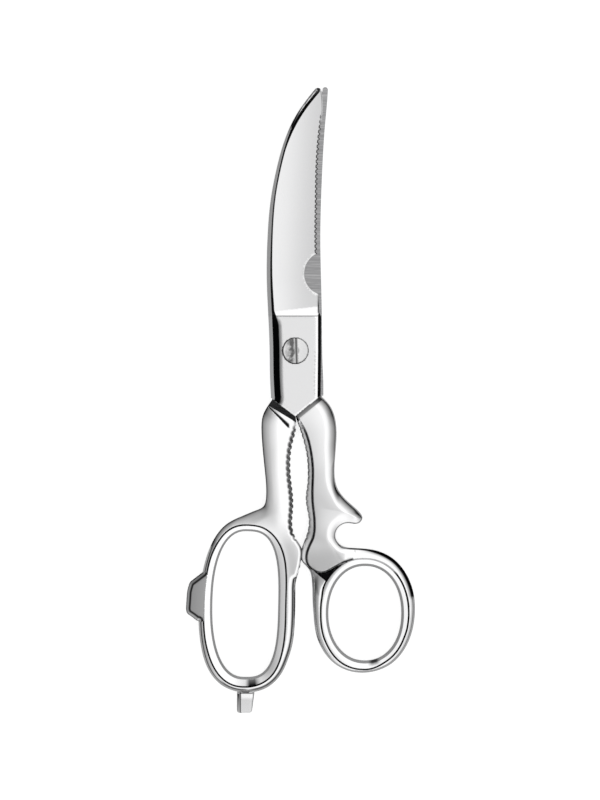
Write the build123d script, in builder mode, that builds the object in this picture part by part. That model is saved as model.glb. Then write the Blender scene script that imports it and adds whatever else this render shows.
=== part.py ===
from build123d import *
import os
from math import atan2, copysign, cos, degrees, hypot, radians, sin

# Forged kitchen shears with curved blades, a toothed jaw between the handles, a bottle opener,
# a lid lifter and a screwdriver tab. They lie flat, with the pivot axis along Z through the
# origin, the blades along +Y and the underside of the rear block at Z = 0. The front half
# carries the serrated blade and the thumb handle, the rear half the finger handle.
# Lengths are in millimetres. A table of shares holds pairs, across and along.

# Pivot block, where the two halves lie on each other
block_width = 17.2
block_thickness = 4.2
slip_gap = 0.06
block_top = 11.2
vee_drop = 21.5
shoulder_setback = 2.7
shoulder_inner_setback = 1.6
left_chamfer_width = 3.3
left_chamfer_depth = 2.6
right_chamfer_width = 1.7
right_chamfer_depth = 1.2

# Blades, measured from the pivot axis to the tips
blade_reach = 86.0
blade_width = 16.6
spine_thickness = 3.1
edge_thickness = 0.7
tip_thinning = 0.3
ramp_steepness = 1.3
serration_pitch = 1.62
serration_radius = 0.55
serration_bite = 0.5
serration_start_share = 0.14
bone_notch_length = 13.0
bone_notch_depth = 4.1

# Handles, with their holes
shank_reach = 70.0
shank_width = 13.4
handle_round = 1.2
hole_round = 1.7
stop_across = 2.0
stop_gap = 0.3
jaw_tooth_pitch = 1.93
jaw_tooth_radius = 0.6
jaw_tooth_bite = 0.35
thumb_tooth_share = 0.5

thumb_hole_width = 23.9
thumb_hole_length = 31.0
thumb_wall = 4.6
thumb_hole_across = 22.7
thumb_hole_past_shank = 16.0
hook_reach = 21.9

finger_hole_width = 21.6
finger_hole_length = 47.8
finger_wall = 4.9
finger_hole_across = 16.45
finger_hole_past_shank = 13.0
finger_hole_tilt = -1.2

# Lid lifter and screwdriver tab on the finger bow
lifter_length = 15.6
lifter_reach = 4.5
lifter_inset = 0.6
lifter_chamfer = 1.1
tab_width = 5.4
tab_length = 6.8
tab_root_thickness = 3.6
tab_tip_thickness = 1.2
tab_corner_round = 1.0

# Pivot screw, its spring washer and its nut
head_diameter = 8.2
head_thickness = 1.5
head_recess = 0.1
dish_depth = 0.25
slot_width = 1.1
slot_depth = 0.8
journal_diameter = 5.0
thread_diameter = 4.0
thread_chamfer = 0.4
washer_thickness = 0.3
washer_rise = 0.2
washer_clearance = 0.02
nut_diameter = 8.0
nut_thickness = 1.9
nut_recess = 0.15
nut_slot_width = 1.2
nut_slot_depth = 0.7
seat_clearance = 0.15
running_clearance = 0.05
thread_clearance = 0.02

# Every cut runs past the face that it leaves by this much
overrun = 1.0

# Heights that follow from the sizes above
rear_face = block_thickness
front_face = block_thickness + slip_gap
top_face = 2 * block_thickness + slip_gap
mid_height = top_face / 2

# Long sides of the blocks, across in shares of half the block's width, along in shares of
# the drop to the tip of the V
half_block = block_width / 2
front_left_shares = [(-0.93, -0.72), (-0.97, -0.4), (-0.985, 0.0)]
front_right_shares = [(0.975, 0.0), (0.957, -0.69)]
rear_right_shares = [(1.06, -0.68), (1.06, -0.5), (1.03, -0.2)]
rear_left_shares = [(-0.96, 0.0), (-0.95, -0.4), (-0.86, -0.73)]

# Blades, across in shares of the blade's width, along in shares of its reach
front_spine_shares = [
    (-0.533, 0.12), (-0.567, 0.28), (-0.551, 0.43), (-0.489, 0.573), (-0.375, 0.69),
    (-0.211, 0.803), (0.078, 0.917), (0.38, 0.994),
]
front_tip_shares = [(0.46, 1.0), (0.515, 0.986)]
front_edge_shares = [
    (0.538, 0.925), (0.5, 0.845), (0.445, 0.72), (0.428, 0.57), (0.42, 0.44), (0.425, 0.369),
]
rear_spine_shares = [
    (0.52, 0.12), (0.506, 0.26), (0.49, 0.42), (0.502, 0.56), (0.536, 0.72),
    (0.583, 0.86), (0.625, 0.95), (0.64, 0.992),
]
rear_tip_shares = [(0.6, 1.003), (0.54, 0.988)]
rear_edge_shares = [
    (0.45, 0.98), (0.15, 0.905), (-0.14, 0.8), (-0.31, 0.69), (-0.425, 0.573),
    (-0.49, 0.43), (-0.505, 0.28), (-0.49, 0.13),
]

# Shanks, across in shares of a shank's width, along in shares of its reach, both from the
# pivot axis. The two stop faces meet when the shears close.
thumb_outer_shares = [
    (0.83, -0.254), (0.975, -0.324), (1.0, -0.414), (0.955, -0.536), (1.03, -0.645),
    (1.27, -0.704),
]
thumb_inner_shares = [
    (0.224, -0.887), (0.3, -0.84), (0.323, -0.79), (0.277, -0.736), (0.25, -0.69),
    (0.284, -0.63), (0.3, -0.565), (0.272, -0.489), (0.155, -0.396), (0.075, -0.349),
]
thumb_root_shares = [(0.4, -1.07), (0.325, -1.022)]
finger_outer_shares = [
    (-0.66, -0.254), (-0.79, -0.3), (-0.83, -0.37), (-0.81, -0.44), (-0.76, -0.54),
    (-0.72, -0.62), (-0.715, -0.68), (-0.79, -0.73), (-0.97, -0.748), (-1.25, -0.77),
]
finger_inner_shares = [
    (0.045, -0.89), (-0.06, -0.84), (-0.078, -0.81), (-0.054, -0.733), (-0.073, -0.653),
    (-0.103, -0.606), (-0.125, -0.536), (-0.1, -0.466), (-0.05, -0.419), (0.005, -0.38),
    (0.022, -0.345),
]
finger_root_shares = [(0.017, -1.074), (0.085, -1.03)]
stop_shares = (-0.985, -0.92)

# The hook of the bottle opener, across in shares of its reach, along in shares of the shank's
hook_shares = [
    (0.94, -0.75), (1.0, -0.785), (0.94, -0.807), (0.79, -0.806), (0.645, -0.825),
    (0.595, -0.868), (0.675, -0.91), (0.865, -0.924),
]

# Walls of the bows round their holes: a turn in degrees from +X towards +Y, and the wall
# there as a share of the bow's own wall
thumb_fullness = (2.1, 2.15)
thumb_wall_shares = [
    (78, 1.17), (60, 1.14), (40, 1.08), (20, 1.03), (0, 0.96), (-20, 0.88), (-40, 0.83),
    (-60, 0.81), (-80, 0.81), (-100, 0.88), (-120, 0.98), (-140, 1.04), (-160, 1.05),
    (-180, 1.06), (-193, 1.2),
]
finger_fullness = (2.3, 3.0)
finger_wall_shares = [
    (110, 0.85), (130, 0.8), (150, 0.8), (170, 0.85), (190, 0.92), (210, 0.97), (230, 1.02),
    (250, 1.0), (270, 1.0), (290, 0.98), (310, 1.0), (325, 1.03), (340, 1.12), (352, 1.14),
    (364, 1.13),
]

# The lid lifter, out in shares of its reach past the bow, along in shares of its length
lifter_shares = [
    (-0.5, 0.51), (-0.23, 0.51), (0.73, 0.3), (0.91, 0.115), (1.0, -0.27), (0.92, -0.353),
    (0.51, -0.43), (0.18, -0.506), (-0.5, -0.506),
]
lifter_drop_share = 0.97
lifter_root_share = 0.85


def placed(shares, width, length):
    """Points of an outline from their shares of a width and a length."""
    return [(across * width, along * length) for across, along in shares]


def rim_point(hole, turn, wall=0):
    """A point on the rim of a hole at a turn in degrees, moved out square to it by a wall."""
    centre_x, centre_y, half_width, half_length, fullness, tilt = hole
    part_x, part_y = cos(radians(turn)), sin(radians(turn))
    power = fullness[0] if part_x < 0 else fullness[1]
    x = half_width * copysign(abs(part_x) ** (2 / power), part_x)
    y = half_length * copysign(abs(part_y) ** (2 / power), part_y)
    slope_x = copysign(abs(x / half_width) ** (power - 1), x) / half_width
    slope_y = copysign(abs(y / half_length) ** (power - 1), y) / half_length
    x += wall * slope_x / hypot(slope_x, slope_y)
    y += wall * slope_y / hypot(slope_x, slope_y)
    lean = radians(tilt)
    return (centre_x + x * cos(lean) - y * sin(lean), centre_y + x * sin(lean) + y * cos(lean))


def bow_points(hole, wall, wall_shares):
    """The outline of a bow round its hole."""
    return [rim_point(hole, turn, wall * share) for turn, share in wall_shares]


def notch_places(points, pitch, radius, bite, start=0):
    """Centres of round notches spaced along a line, cut into it from its left side."""
    line = Spline(*points, mode=Mode.PRIVATE)
    count = int(line.length * (1 - start) / pitch)
    places = []
    for step in range(count):
        share = start + (1 - start) * (step + 0.5) / count
        heading = line % share
        sideways = Vector(-heading.Y, heading.X) * (radius - bite)
        places.append(line @ share + sideways)
    return places


def handle(outline, hole):
    """A handle at full thickness with its hole, and the rims of both rounded."""
    with BuildPart() as body:
        with BuildSketch():
            with BuildLine():
                Spline(*outline)
                Line(outline[-1], outline[0])
            make_face()
            with BuildLine():
                Spline(*[rim_point(hole, turn) for turn in range(0, 360, 15)], periodic=True)
            make_face(mode=Mode.SUBTRACT)
        extrude(amount=top_face)
        ends = body.faces().filter_by(GeomType.PLANE).filter_by(Axis.Z)
        rims = [face.outer_wire().edges().sort_by(SortBy.LENGTH)[-1] for face in ends]
        hole_rims = [edge for face in ends for edge in face.inner_wires()[0].edges()]
        fillet(rims, radius=handle_round)
        fillet(hole_rims, radius=hole_round)
    return body.part


def shoulder_relief(corner, low, high):
    """What clears a crossing handle off the other half's block, as far as its shoulder."""
    side = copysign(1, corner[0])
    line = (Vector(0, -vee_drop) - Vector(*corner)).normalized()
    down = Vector(-side * line.Y, side * line.X)
    outer = Vector(*corner) + down * shoulder_setback
    inner = Vector(0, -vee_drop) + down * shoulder_inner_setback
    reach = (inner - outer).normalized() * half_block
    outer -= reach
    inner += reach
    with BuildPart() as relief:
        with BuildSketch(Plane.XY.offset(low)):
            with BuildLine():
                Polyline(
                    (outer.X, outer.Y), (inner.X, inner.Y), (inner.X, block_top),
                    (outer.X, block_top), close=True,
                )
            make_face()
        extrude(amount=high - low)
    return relief.part


def bevelling(points, width, depth, height, up):
    """What a bevel takes off along a side of a block or a spine, from its outline inwards."""
    # up is 1 where the bevelled face looks up, and -1 where it looks down
    side = copysign(1, points[0][0])
    line = Spline(*points, mode=Mode.PRIVATE)
    far = side * 2 * blade_width
    past = width * overrun / depth
    with BuildPart() as taken:
        for level, inset in (
            (height - up * (depth + overrun), -past),
            (height + up * overrun, width + past),
        ):
            inner = []
            for point in points:
                heading = line.tangent_at(Vector(*point))
                inner.append(Vector(*point) + Vector(-heading.Y, heading.X) * side * inset)
            start = inner[0] - line.tangent_at(0) * overrun
            end = inner[-1] + line.tangent_at(1) * overrun
            with BuildSketch(Plane.XY.offset(level)):
                with BuildLine():
                    Spline(start, *inner, end)
                    Polyline((end.X, end.Y), (far, end.Y), (far, start.Y), (start.X, start.Y))
                make_face()
        loft(ruled=True)
    return taken.part


def grinding(spine, edge, base, up):
    """What is ground off a blade: above its sloping face, and past the ramp at the block."""
    # up is 1 where the blade's face looks up, and -1 where it looks down
    width = abs(edge - spine)
    across = (edge - spine) / width
    fall = (spine_thickness - edge_thickness) / width
    slope = Plane(
        origin=(spine, block_top, base + up * spine_thickness),
        x_dir=(across, 0, -up * fall),
        z_dir=(across * fall, tip_thinning / blade_reach, up),
    )
    ramp = Plane(
        origin=(0, block_top, base + up * block_thickness),
        x_dir=(1, 0, 0),
        z_dir=(0, ramp_steepness, up),
    )
    with BuildPart() as ground:
        with BuildSketch(slope):
            with Locations((width / 2, 0)):
                Rectangle(3 * blade_width, 3 * blade_reach)
        extrude(amount=3 * block_thickness)
        split(bisect_by=ramp, keep=Keep.TOP)
    return ground.part


thumb_hole_drop = shank_reach + thumb_hole_past_shank
finger_hole_drop = shank_reach + finger_hole_past_shank
thumb_hole = (
    thumb_hole_across, -thumb_hole_drop, thumb_hole_width / 2, thumb_hole_length / 2,
    thumb_fullness, 0,
)
finger_hole = (
    -finger_hole_across, -finger_hole_drop, finger_hole_width / 2, finger_hole_length / 2,
    finger_fullness, finger_hole_tilt,
)
vee_tip = (0, -vee_drop)
stop_along = [share * shank_reach for share in stop_shares]

# Thumb handle, with the hook of the bottle opener
front_right = placed(front_right_shares, half_block, vee_drop)
front_corner = front_right[-1]
thumb_jaw = placed(thumb_inner_shares, shank_width, shank_reach)
thumb_handle = handle(
    [
        front_corner,
        *placed(thumb_outer_shares, shank_width, shank_reach),
        *placed(hook_shares, hook_reach, shank_reach),
        *bow_points(thumb_hole, thumb_wall, thumb_wall_shares),
        *placed(thumb_root_shares, shank_width, shank_reach),
        *[(stop_across + stop_gap / 2, along) for along in stop_along],
        *thumb_jaw,
        vee_tip,
    ],
    thumb_hole,
)

# Front half: the serrated blade with its bone notch, the block and the thumb handle
front_left = placed(front_left_shares, half_block, vee_drop)
front_spine = placed(front_spine_shares, blade_width, blade_reach)
front_tip = placed(front_tip_shares, blade_width, blade_reach)
front_edge = placed(front_edge_shares, blade_width, blade_reach)
notch_start = front_edge[-1]
notch_end = (notch_start[0], notch_start[1] - bone_notch_length)
notch_middle = (notch_start[0] - bone_notch_depth, notch_start[1] - bone_notch_length / 2)
ramp_run = (block_thickness - edge_thickness) / ramp_steepness
block_shoulder = (front_right[0][0], block_top)
seat_depth = head_recess + head_thickness + washer_thickness + washer_rise
front_spine_bevel = bevelling(
    [*front_left, *front_spine], left_chamfer_width, left_chamfer_depth, top_face, 1
)
front_block_bevel = bevelling(
    [front_corner, front_right[0], block_shoulder], right_chamfer_width, right_chamfer_depth,
    top_face, 1,
)
front_ground = grinding(front_spine[1][0], notch_start[0], front_face, 1)
front_relief = shoulder_relief(front_corner, -overrun, front_face)
serrations = notch_places(
    [front_tip[1], *front_edge], serration_pitch, serration_radius, serration_bite,
    serration_start_share,
)
thumb_teeth = notch_places(
    thumb_jaw, jaw_tooth_pitch, jaw_tooth_radius, jaw_tooth_bite * thumb_tooth_share
)

with BuildPart() as front_half:
    with BuildSketch(Plane.XY.offset(front_face)):
        with BuildLine():
            Line(vee_tip, front_left[0])
            Spline(*front_left, *front_spine)
            ThreePointArc(front_spine[-1], front_tip[0], front_tip[1])
            Spline(front_tip[1], *front_edge)
            ThreePointArc(notch_start, notch_middle, notch_end)
            Polyline(
                notch_end, (notch_start[0], block_top + ramp_run), block_shoulder,
                front_right[0], front_corner, vee_tip,
            )
        make_face()
    extrude(amount=block_thickness)
    add(front_spine_bevel, mode=Mode.SUBTRACT)
    add(front_block_bevel, mode=Mode.SUBTRACT)
    add(front_ground, mode=Mode.SUBTRACT)
    add(thumb_handle)
    add(front_relief, mode=Mode.SUBTRACT)
    with BuildSketch(Plane.XY.offset(front_face)):
        with Locations(*serrations):
            Circle(serration_radius)
    extrude(amount=block_thickness, mode=Mode.SUBTRACT)
    with BuildSketch():
        with Locations(*thumb_teeth):
            Circle(jaw_tooth_radius)
    extrude(amount=top_face, mode=Mode.SUBTRACT)
    with Locations((0, 0, top_face)):
        CounterBoreHole(
            radius=journal_diameter / 2 + running_clearance,
            counter_bore_radius=head_diameter / 2 + seat_clearance,
            counter_bore_depth=seat_depth,
        )

# Finger handle, with the finger bow
rear_left = placed(rear_left_shares, half_block, vee_drop)
rear_corner = rear_left[-1]
finger_jaw = placed(finger_inner_shares, shank_width, shank_reach)
finger_handle = handle(
    [
        rear_corner,
        *placed(finger_outer_shares, shank_width, shank_reach),
        *bow_points(finger_hole, finger_wall, finger_wall_shares),
        *placed(finger_root_shares, shank_width, shank_reach),
        *[(stop_across - stop_gap / 2, along) for along in stop_along],
        *finger_jaw,
        vee_tip,
    ],
    finger_hole,
)

# Lid lifter on the outside of the finger bow
lifter_root = rim_point(finger_hole, 180, finger_wall * lifter_root_share)
lifter_middle = -finger_hole_drop * lifter_drop_share
with BuildPart() as lid_lifter:
    with BuildSketch(Plane.XY.offset(lifter_inset)):
        with BuildLine():
            Polyline(
                *[
                    (lifter_root[0] - out * lifter_reach, lifter_middle + along * lifter_length)
                    for out, along in lifter_shares
                ],
                close=True,
            )
        make_face()
    extrude(amount=top_face - 2 * lifter_inset)
    lifter_rims = lid_lifter.faces().filter_by(Axis.Z).edges()
    chamfer(
        [edge for edge in lifter_rims if edge.center().X < lifter_root[0]], length=lifter_chamfer
    )

# Screwdriver tab under the finger bow, thinned to its tip
bow_foot = rim_point(finger_hole, 270, finger_wall)[1]
tab_root = bow_foot + finger_wall / 2
tab_tip = bow_foot - tab_length
with BuildPart() as screwdriver_tab:
    with BuildSketch(Plane.YZ.offset(-finger_hole_across)):
        with BuildLine():
            Polyline(
                (tab_root, mid_height - tab_root_thickness / 2),
                (tab_root, mid_height + tab_root_thickness / 2),
                (tab_tip, mid_height + tab_tip_thickness / 2),
                (tab_tip, mid_height - tab_tip_thickness / 2),
                close=True,
            )
        make_face()
    extrude(amount=tab_width / 2, both=True)
    fillet(
        screwdriver_tab.edges().filter_by(Axis.Z).sort_by(Axis.Y)[:2], radius=tab_corner_round
    )

# Rear half: the plain blade, the block and the finger handle
rear_right = placed(rear_right_shares, half_block, vee_drop)
rear_spine = placed(rear_spine_shares, blade_width, blade_reach)
rear_tip = placed(rear_tip_shares, blade_width, blade_reach)
rear_edge = placed(rear_edge_shares, blade_width, blade_reach)
rear_spine_bevel = bevelling(
    [*rear_right, *rear_spine], left_chamfer_width, left_chamfer_depth, 0, -1
)
rear_block_bevel = bevelling(
    [*reversed(rear_left), rear_edge[-1]], right_chamfer_width, right_chamfer_depth, 0, -1
)
rear_ground = grinding(rear_spine[0][0], rear_edge[-1][0], rear_face, -1)
rear_relief = shoulder_relief(rear_corner, rear_face, top_face + overrun)
finger_teeth = notch_places(
    [*reversed(finger_jaw)], jaw_tooth_pitch, jaw_tooth_radius, jaw_tooth_bite
)

with BuildPart() as rear_half:
    with BuildSketch():
        with BuildLine():
            Line(vee_tip, rear_right[0])
            Spline(*rear_right, *rear_spine)
            ThreePointArc(rear_spine[-1], rear_tip[0], rear_tip[1])
            Spline(rear_tip[1], *rear_edge, *rear_left)
            Line(rear_corner, vee_tip)
        make_face()
    extrude(amount=block_thickness)
    add(rear_spine_bevel, mode=Mode.SUBTRACT)
    add(rear_block_bevel, mode=Mode.SUBTRACT)
    add(rear_ground, mode=Mode.SUBTRACT)
    add(finger_handle)
    add(rear_relief, mode=Mode.SUBTRACT)
    add(lid_lifter.part)
    add(screwdriver_tab.part)
    with BuildSketch():
        with Locations(*finger_teeth):
            Circle(jaw_tooth_radius)
    extrude(amount=top_face, mode=Mode.SUBTRACT)
    with Locations(Plane(origin=(0, 0, 0), z_dir=(0, 0, -1))):
        CounterBoreHole(
            radius=thread_diameter / 2 + thread_clearance,
            counter_bore_radius=nut_diameter / 2 + seat_clearance,
            counter_bore_depth=nut_recess + nut_thickness,
        )

# Pivot screw: a dished, slotted head, a journal for the front half and a threaded end
head_top = top_face - head_recess
head_under = head_top - head_thickness
head_radius = head_diameter / 2
journal_radius = journal_diameter / 2
thread_radius = thread_diameter / 2
thread_end = nut_recess + nut_slot_depth
with BuildPart() as pivot_screw:
    with BuildSketch(Plane.XZ):
        with BuildLine():
            Polyline(
                (0, head_top - dish_depth), (0, thread_end),
                (thread_radius - thread_chamfer, thread_end),
                (thread_radius, thread_end + thread_chamfer), (thread_radius, rear_face),
                (journal_radius, rear_face), (journal_radius, head_under),
                (head_radius, head_under), (head_radius, head_top),
            )
            ThreePointArc(
                (head_radius, head_top),
                (head_radius / 2, head_top - 3 * dish_depth / 4),
                (0, head_top - dish_depth),
            )
        make_face()
    revolve(axis=Axis.Z)
    with BuildSketch(Plane.XY.offset(head_top + overrun)):
        Rectangle(slot_width, head_diameter + overrun)
    extrude(amount=-(slot_depth + overrun), mode=Mode.SUBTRACT)

# Spring washer, a shallow cone between the head and the front half
washer_foot = top_face - seat_depth + washer_clearance
washer_outer = head_radius - seat_clearance
washer_inner = journal_radius + running_clearance
with BuildPart() as spring_washer:
    with BuildSketch(Plane.XZ):
        with BuildLine():
            Polyline(
                (washer_outer, washer_foot), (washer_outer, washer_foot + washer_thickness),
                (washer_inner, head_under), (washer_inner, head_under - washer_thickness),
                close=True,
            )
        make_face()
    revolve(axis=Axis.Z)

# Round slotted nut, sunk into the underside of the rear block
with BuildPart() as pivot_nut:
    with BuildSketch(Plane.XY.offset(nut_recess)):
        Circle(nut_diameter / 2)
        Circle(thread_radius + thread_clearance, mode=Mode.SUBTRACT)
    extrude(amount=nut_thickness)
    with BuildSketch(Plane.XY.offset(nut_recess - overrun)):
        Rectangle(nut_diameter + overrun, nut_slot_width)
    extrude(amount=nut_slot_depth + overrun, mode=Mode.SUBTRACT)

os.makedirs("parts", exist_ok=True)
pieces = {
    "front_half": front_half, "rear_half": rear_half, "pivot_screw": pivot_screw,
    "spring_washer": spring_washer, "pivot_nut": pivot_nut,
}
for label, piece in pieces.items():
    piece.part.label = label
    export_step(piece.part, f"parts/{label}.step")
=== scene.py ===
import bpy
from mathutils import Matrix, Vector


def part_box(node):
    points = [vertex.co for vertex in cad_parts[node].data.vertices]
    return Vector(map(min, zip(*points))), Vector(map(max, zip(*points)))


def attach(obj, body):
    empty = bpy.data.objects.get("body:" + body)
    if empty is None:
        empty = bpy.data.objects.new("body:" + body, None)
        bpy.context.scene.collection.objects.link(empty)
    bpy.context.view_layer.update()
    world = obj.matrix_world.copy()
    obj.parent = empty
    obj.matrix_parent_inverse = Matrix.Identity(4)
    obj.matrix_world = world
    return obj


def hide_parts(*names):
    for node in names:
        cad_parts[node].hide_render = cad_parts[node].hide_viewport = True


bl_info = {
    "name": "Kitchen shears",
    "version": (1, 0, 0),
    "blender": (4, 5, 0),
    "location": "3D View > Sidebar > Shears",
    "description": "Polished forged kitchen shears with a jaw, a bottle opener and a lid lifter",
    "category": "Add Mesh",
}

from math import atan2, ceil, copysign, cos, degrees, hypot, pi, radians, sin

import bpy
import numpy as np
from bpy.props import FloatProperty, FloatVectorProperty, IntProperty, PointerProperty
from mathutils import Vector
from mathutils.geometry import delaunay_2d_cdt
from mathutils.kdtree import KDTree

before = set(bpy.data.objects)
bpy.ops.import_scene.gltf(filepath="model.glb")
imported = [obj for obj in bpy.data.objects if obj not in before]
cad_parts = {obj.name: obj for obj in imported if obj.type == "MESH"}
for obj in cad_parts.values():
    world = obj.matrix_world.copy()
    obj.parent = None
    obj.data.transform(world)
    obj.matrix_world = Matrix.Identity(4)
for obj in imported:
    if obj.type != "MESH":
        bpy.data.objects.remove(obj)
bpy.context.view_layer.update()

# The plan is drawn in millimetres, and the meshes are made in metres
MM = 0.001
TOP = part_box("front_half")[1][2] / MM
MIDDLE = TOP / 2
INNER_FACE = 4.26
HALF_BLOCK = 8.6
VEE_DROP = 21.5
BLOCK_TOP = 11.2
BLADE_WIDTH = 16.6
BLADE_REACH = 86.0
SHANK_WIDTH = 13.4
SHANK_REACH = 70.0
HOOK_REACH = 21.9
STOP_ACROSS = 2.0
STOP_GAP = 0.3
STOP_MIDDLE = -66.7
BONE_NOTCH = (13.0, 4.1)
VEE = np.array((0.0, -VEE_DROP))

# Thickness of a blade at its spine and its edge, its fall towards the tip, and two slopes
SPINE_THICK = 3.1
EDGE_THICK = 0.7
TIP_FALL = 0.3
RAMP_SLOPE = 0.93
FACET_SLOPE = 0.8

# The least thickness that the bevels leave at a blade's edge and at its spine
EDGE_LEAST = 0.12
SPINE_LEAST = 0.3

# Where the thickness of each blade is given across, at its spine and at its edge
FRONT_BLADE = (-9.41, 7.055)
REAR_BLADE = (8.6, -8.13)

# Pitch and radius of the teeth in the jaw and in the serrated edge
JAW_TEETH = (1.93, 0.6)
EDGE_TEETH = (1.62, 0.55)

# Gaps between a block and the shoulder of the handle that crosses it, outside and at the V
SHOULDER_GAPS = (2.7, 1.6)

# Radius of each bore at the pivot, and radius and depth of its counterbore
FRONT_PIVOT = (2.55, 4.28, 2.1)
REAR_PIVOT = (2.02, 4.15, 2.05)
SINK_SHIFT = 0.07

# The lid lifter's size and the tab's sides, its right foot and its reach below the bow
LIFTER_SIZE = (4.5, 15.6)
TAB_SIDES = (-19.2, -14.3)
TAB_FOOT = -13.1
TAB_REACH = 6.8

# The screw: thickness of its head, radii of its journal and thread, and its pointed end
HEAD_THICK = 1.5
JOURNAL = 2.5
THREAD = 2.0
SCREW_POINT = 0.4

# The screw's slot: how far it lies off the middle, its turn in degrees and its broken edges
SLOT_SHIFT = 0.12
SLOT_TURN = -1.5
SLOT_BEVEL = 0.13

# The camera's place over the floor in metres, and its sensor in millimetres
CAMERA_PLACE = (0.001476, -0.01617)
SENSOR = 36

# The most painted shade that a side wall gets, because it shows at the rim of each outer side
WALL_PAINTED_SHADE = 0.15

# The most points over one plan, so that a half stays under 200,000 triangles
MOST_SPOTS = 46000

# Points of the outlines, in shares of the size that each table is placed by
FRONT_LEFT = [(-0.93, -0.72), (-0.97, -0.4), (-0.985, 0.0)]
FRONT_RIGHT = [(0.975, 0.0), (0.957, -0.69)]
REAR_RIGHT = [(1.06, -0.68), (1.06, -0.5), (1.03, -0.2)]
REAR_LEFT = [(-0.96, 0.0), (-0.95, -0.4), (-0.86, -0.73)]
FRONT_CORNER = (FRONT_LEFT[0][0] * HALF_BLOCK, FRONT_LEFT[0][1] * VEE_DROP)
FRONT_SPINE = [
    (-0.533, 0.12), (-0.567, 0.28), (-0.551, 0.43), (-0.489, 0.573), (-0.375, 0.69),
    (-0.211, 0.803), (0.078, 0.917), (0.38, 0.994),
]
FRONT_TIP = [(0.46, 1.0), (0.515, 0.986)]
FRONT_EDGE = [
    (0.538, 0.925), (0.5, 0.845), (0.445, 0.72), (0.428, 0.57), (0.42, 0.44), (0.425, 0.369),
]
REAR_SPINE = [
    (0.52, 0.12), (0.506, 0.26), (0.49, 0.42), (0.502, 0.56), (0.536, 0.72),
    (0.583, 0.86), (0.625, 0.95), (0.64, 0.992),
]
REAR_TIP = [(0.6, 1.003), (0.54, 0.988)]
REAR_EDGE = [
    (0.45, 0.98), (0.15, 0.905), (-0.14, 0.8), (-0.31, 0.69), (-0.425, 0.573),
    (-0.49, 0.43), (-0.505, 0.28), (-0.49, 0.13),
]
THUMB_OUTER = [
    (0.83, -0.254), (0.975, -0.324), (1.0, -0.414), (0.955, -0.536), (1.03, -0.645),
    (1.27, -0.704),
]
THUMB_INNER = [
    (0.224, -0.887), (0.3, -0.84), (0.323, -0.79), (0.277, -0.736), (0.25, -0.69),
    (0.284, -0.63), (0.3, -0.565), (0.272, -0.489), (0.155, -0.396), (0.075, -0.349),
]
THUMB_ROOT = [(0.4, -1.07), (0.325, -1.022)]
FINGER_OUTER = [
    (-0.66, -0.254), (-0.79, -0.3), (-0.83, -0.37), (-0.81, -0.44), (-0.76, -0.54),
    (-0.72, -0.62), (-0.715, -0.68), (-0.79, -0.73), (-0.97, -0.748), (-1.25, -0.77),
]
FINGER_INNER = [
    (0.045, -0.89), (-0.06, -0.84), (-0.078, -0.81), (-0.054, -0.733), (-0.073, -0.653),
    (-0.103, -0.606), (-0.125, -0.536), (-0.1, -0.466), (-0.05, -0.419), (0.005, -0.38),
    (0.022, -0.345),
]
FINGER_ROOT = [(0.017, -1.074), (0.085, -1.03)]
STOPS = (-0.985, -0.92)
HOOK = [
    (0.94, -0.75), (1.0, -0.785), (0.94, -0.807), (0.79, -0.806), (0.645, -0.825),
    (0.595, -0.868), (0.675, -0.91), (0.865, -0.924),
]
LIFTER = [
    (-0.5, 0.51), (-0.23, 0.51), (0.73, 0.3), (0.91, 0.115), (1.0, -0.27), (0.92, -0.353),
    (0.51, -0.43), (0.18, -0.506), (-0.5, -0.506),
]

# Holes of the bows: centre, half width, half length, fullness of each side and lean
THUMB_HOLE = (22.7, -86.0, 11.95, 15.5, (2.1, 2.15), 0)
FINGER_HOLE = (-16.45, -83.0, 10.8, 23.9, (2.3, 3.0), -1.2)
THUMB_WALL = 4.6
FINGER_WALL = 4.9
THUMB_WALLS = [
    (78, 1.17), (60, 1.14), (40, 1.08), (20, 1.03), (0, 0.96), (-20, 0.88), (-40, 0.83),
    (-60, 0.81), (-80, 0.81), (-100, 0.88), (-120, 0.98), (-140, 1.04), (-160, 1.05),
    (-180, 1.06), (-193, 1.2),
]
FINGER_WALLS = [
    (110, 0.85), (130, 0.8), (150, 0.8), (170, 0.85), (190, 0.92), (210, 0.97), (230, 1.02),
    (250, 1.0), (270, 1.0), (290, 0.98), (310, 1.0), (325, 1.03), (340, 1.12), (352, 1.14),
    (364, 1.13),
]

# How far the groove of each bow lies from the rim of its hole, by the turn in degrees
THUMB_GROOVE = [
    (0, 2.4), (30, 2.35), (60, 2.3), (90, 2.4), (120, 2.85), (150, 3.1), (165, 2.6),
    (180, 2.5), (210, 2.75), (240, 3.0), (270, 2.8), (300, 2.1), (330, 2.1), (345, 2.3),
]
FINGER_GROOVE = [
    (0, 2.5), (30, 2.7), (60, 2.0), (90, 2.0), (120, 2.2), (150, 2.5), (180, 2.75),
    (210, 3.0), (240, 3.1), (270, 3.1), (300, 2.7), (330, 2.6),
]

# The step beside the thumb pad, from the block down to the thumb bow
PAD_STEP = [
    (0.7, -22.0), (3.1, -26.2), (5.0, -32.7), (5.7, -39.3), (5.66, -42.4), (5.53, -46.6),
    (5.7, -50.4), (6.16, -54.5), (6.25, -57.9), (5.83, -61.0), (4.74, -63.5), (3.86, -65.8),
    (3.57, -68.1), (4.1, -70.0), (5.35, -71.4), (7.2, -72.35), (8.4, -72.5), (9.7, -72.25),
    (11.55, -71.35), (13.4, -70.3), (16.3, -68.9), (18.6, -68.2),
]
HOLLOW = [
    (4.7, -71.2), (7.2, -72.6), (8.4, -72.75), (9.8, -72.45), (11.6, -71.6), (13.4, -70.5),
    (16.3, -69.15), (17.8, -68.7), (15.5, -69.75), (12.7, -71.8), (11.35, -73.6), (10.5, -76.4),
    (9.5, -75.1), (7.4, -73.4),
]
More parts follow.
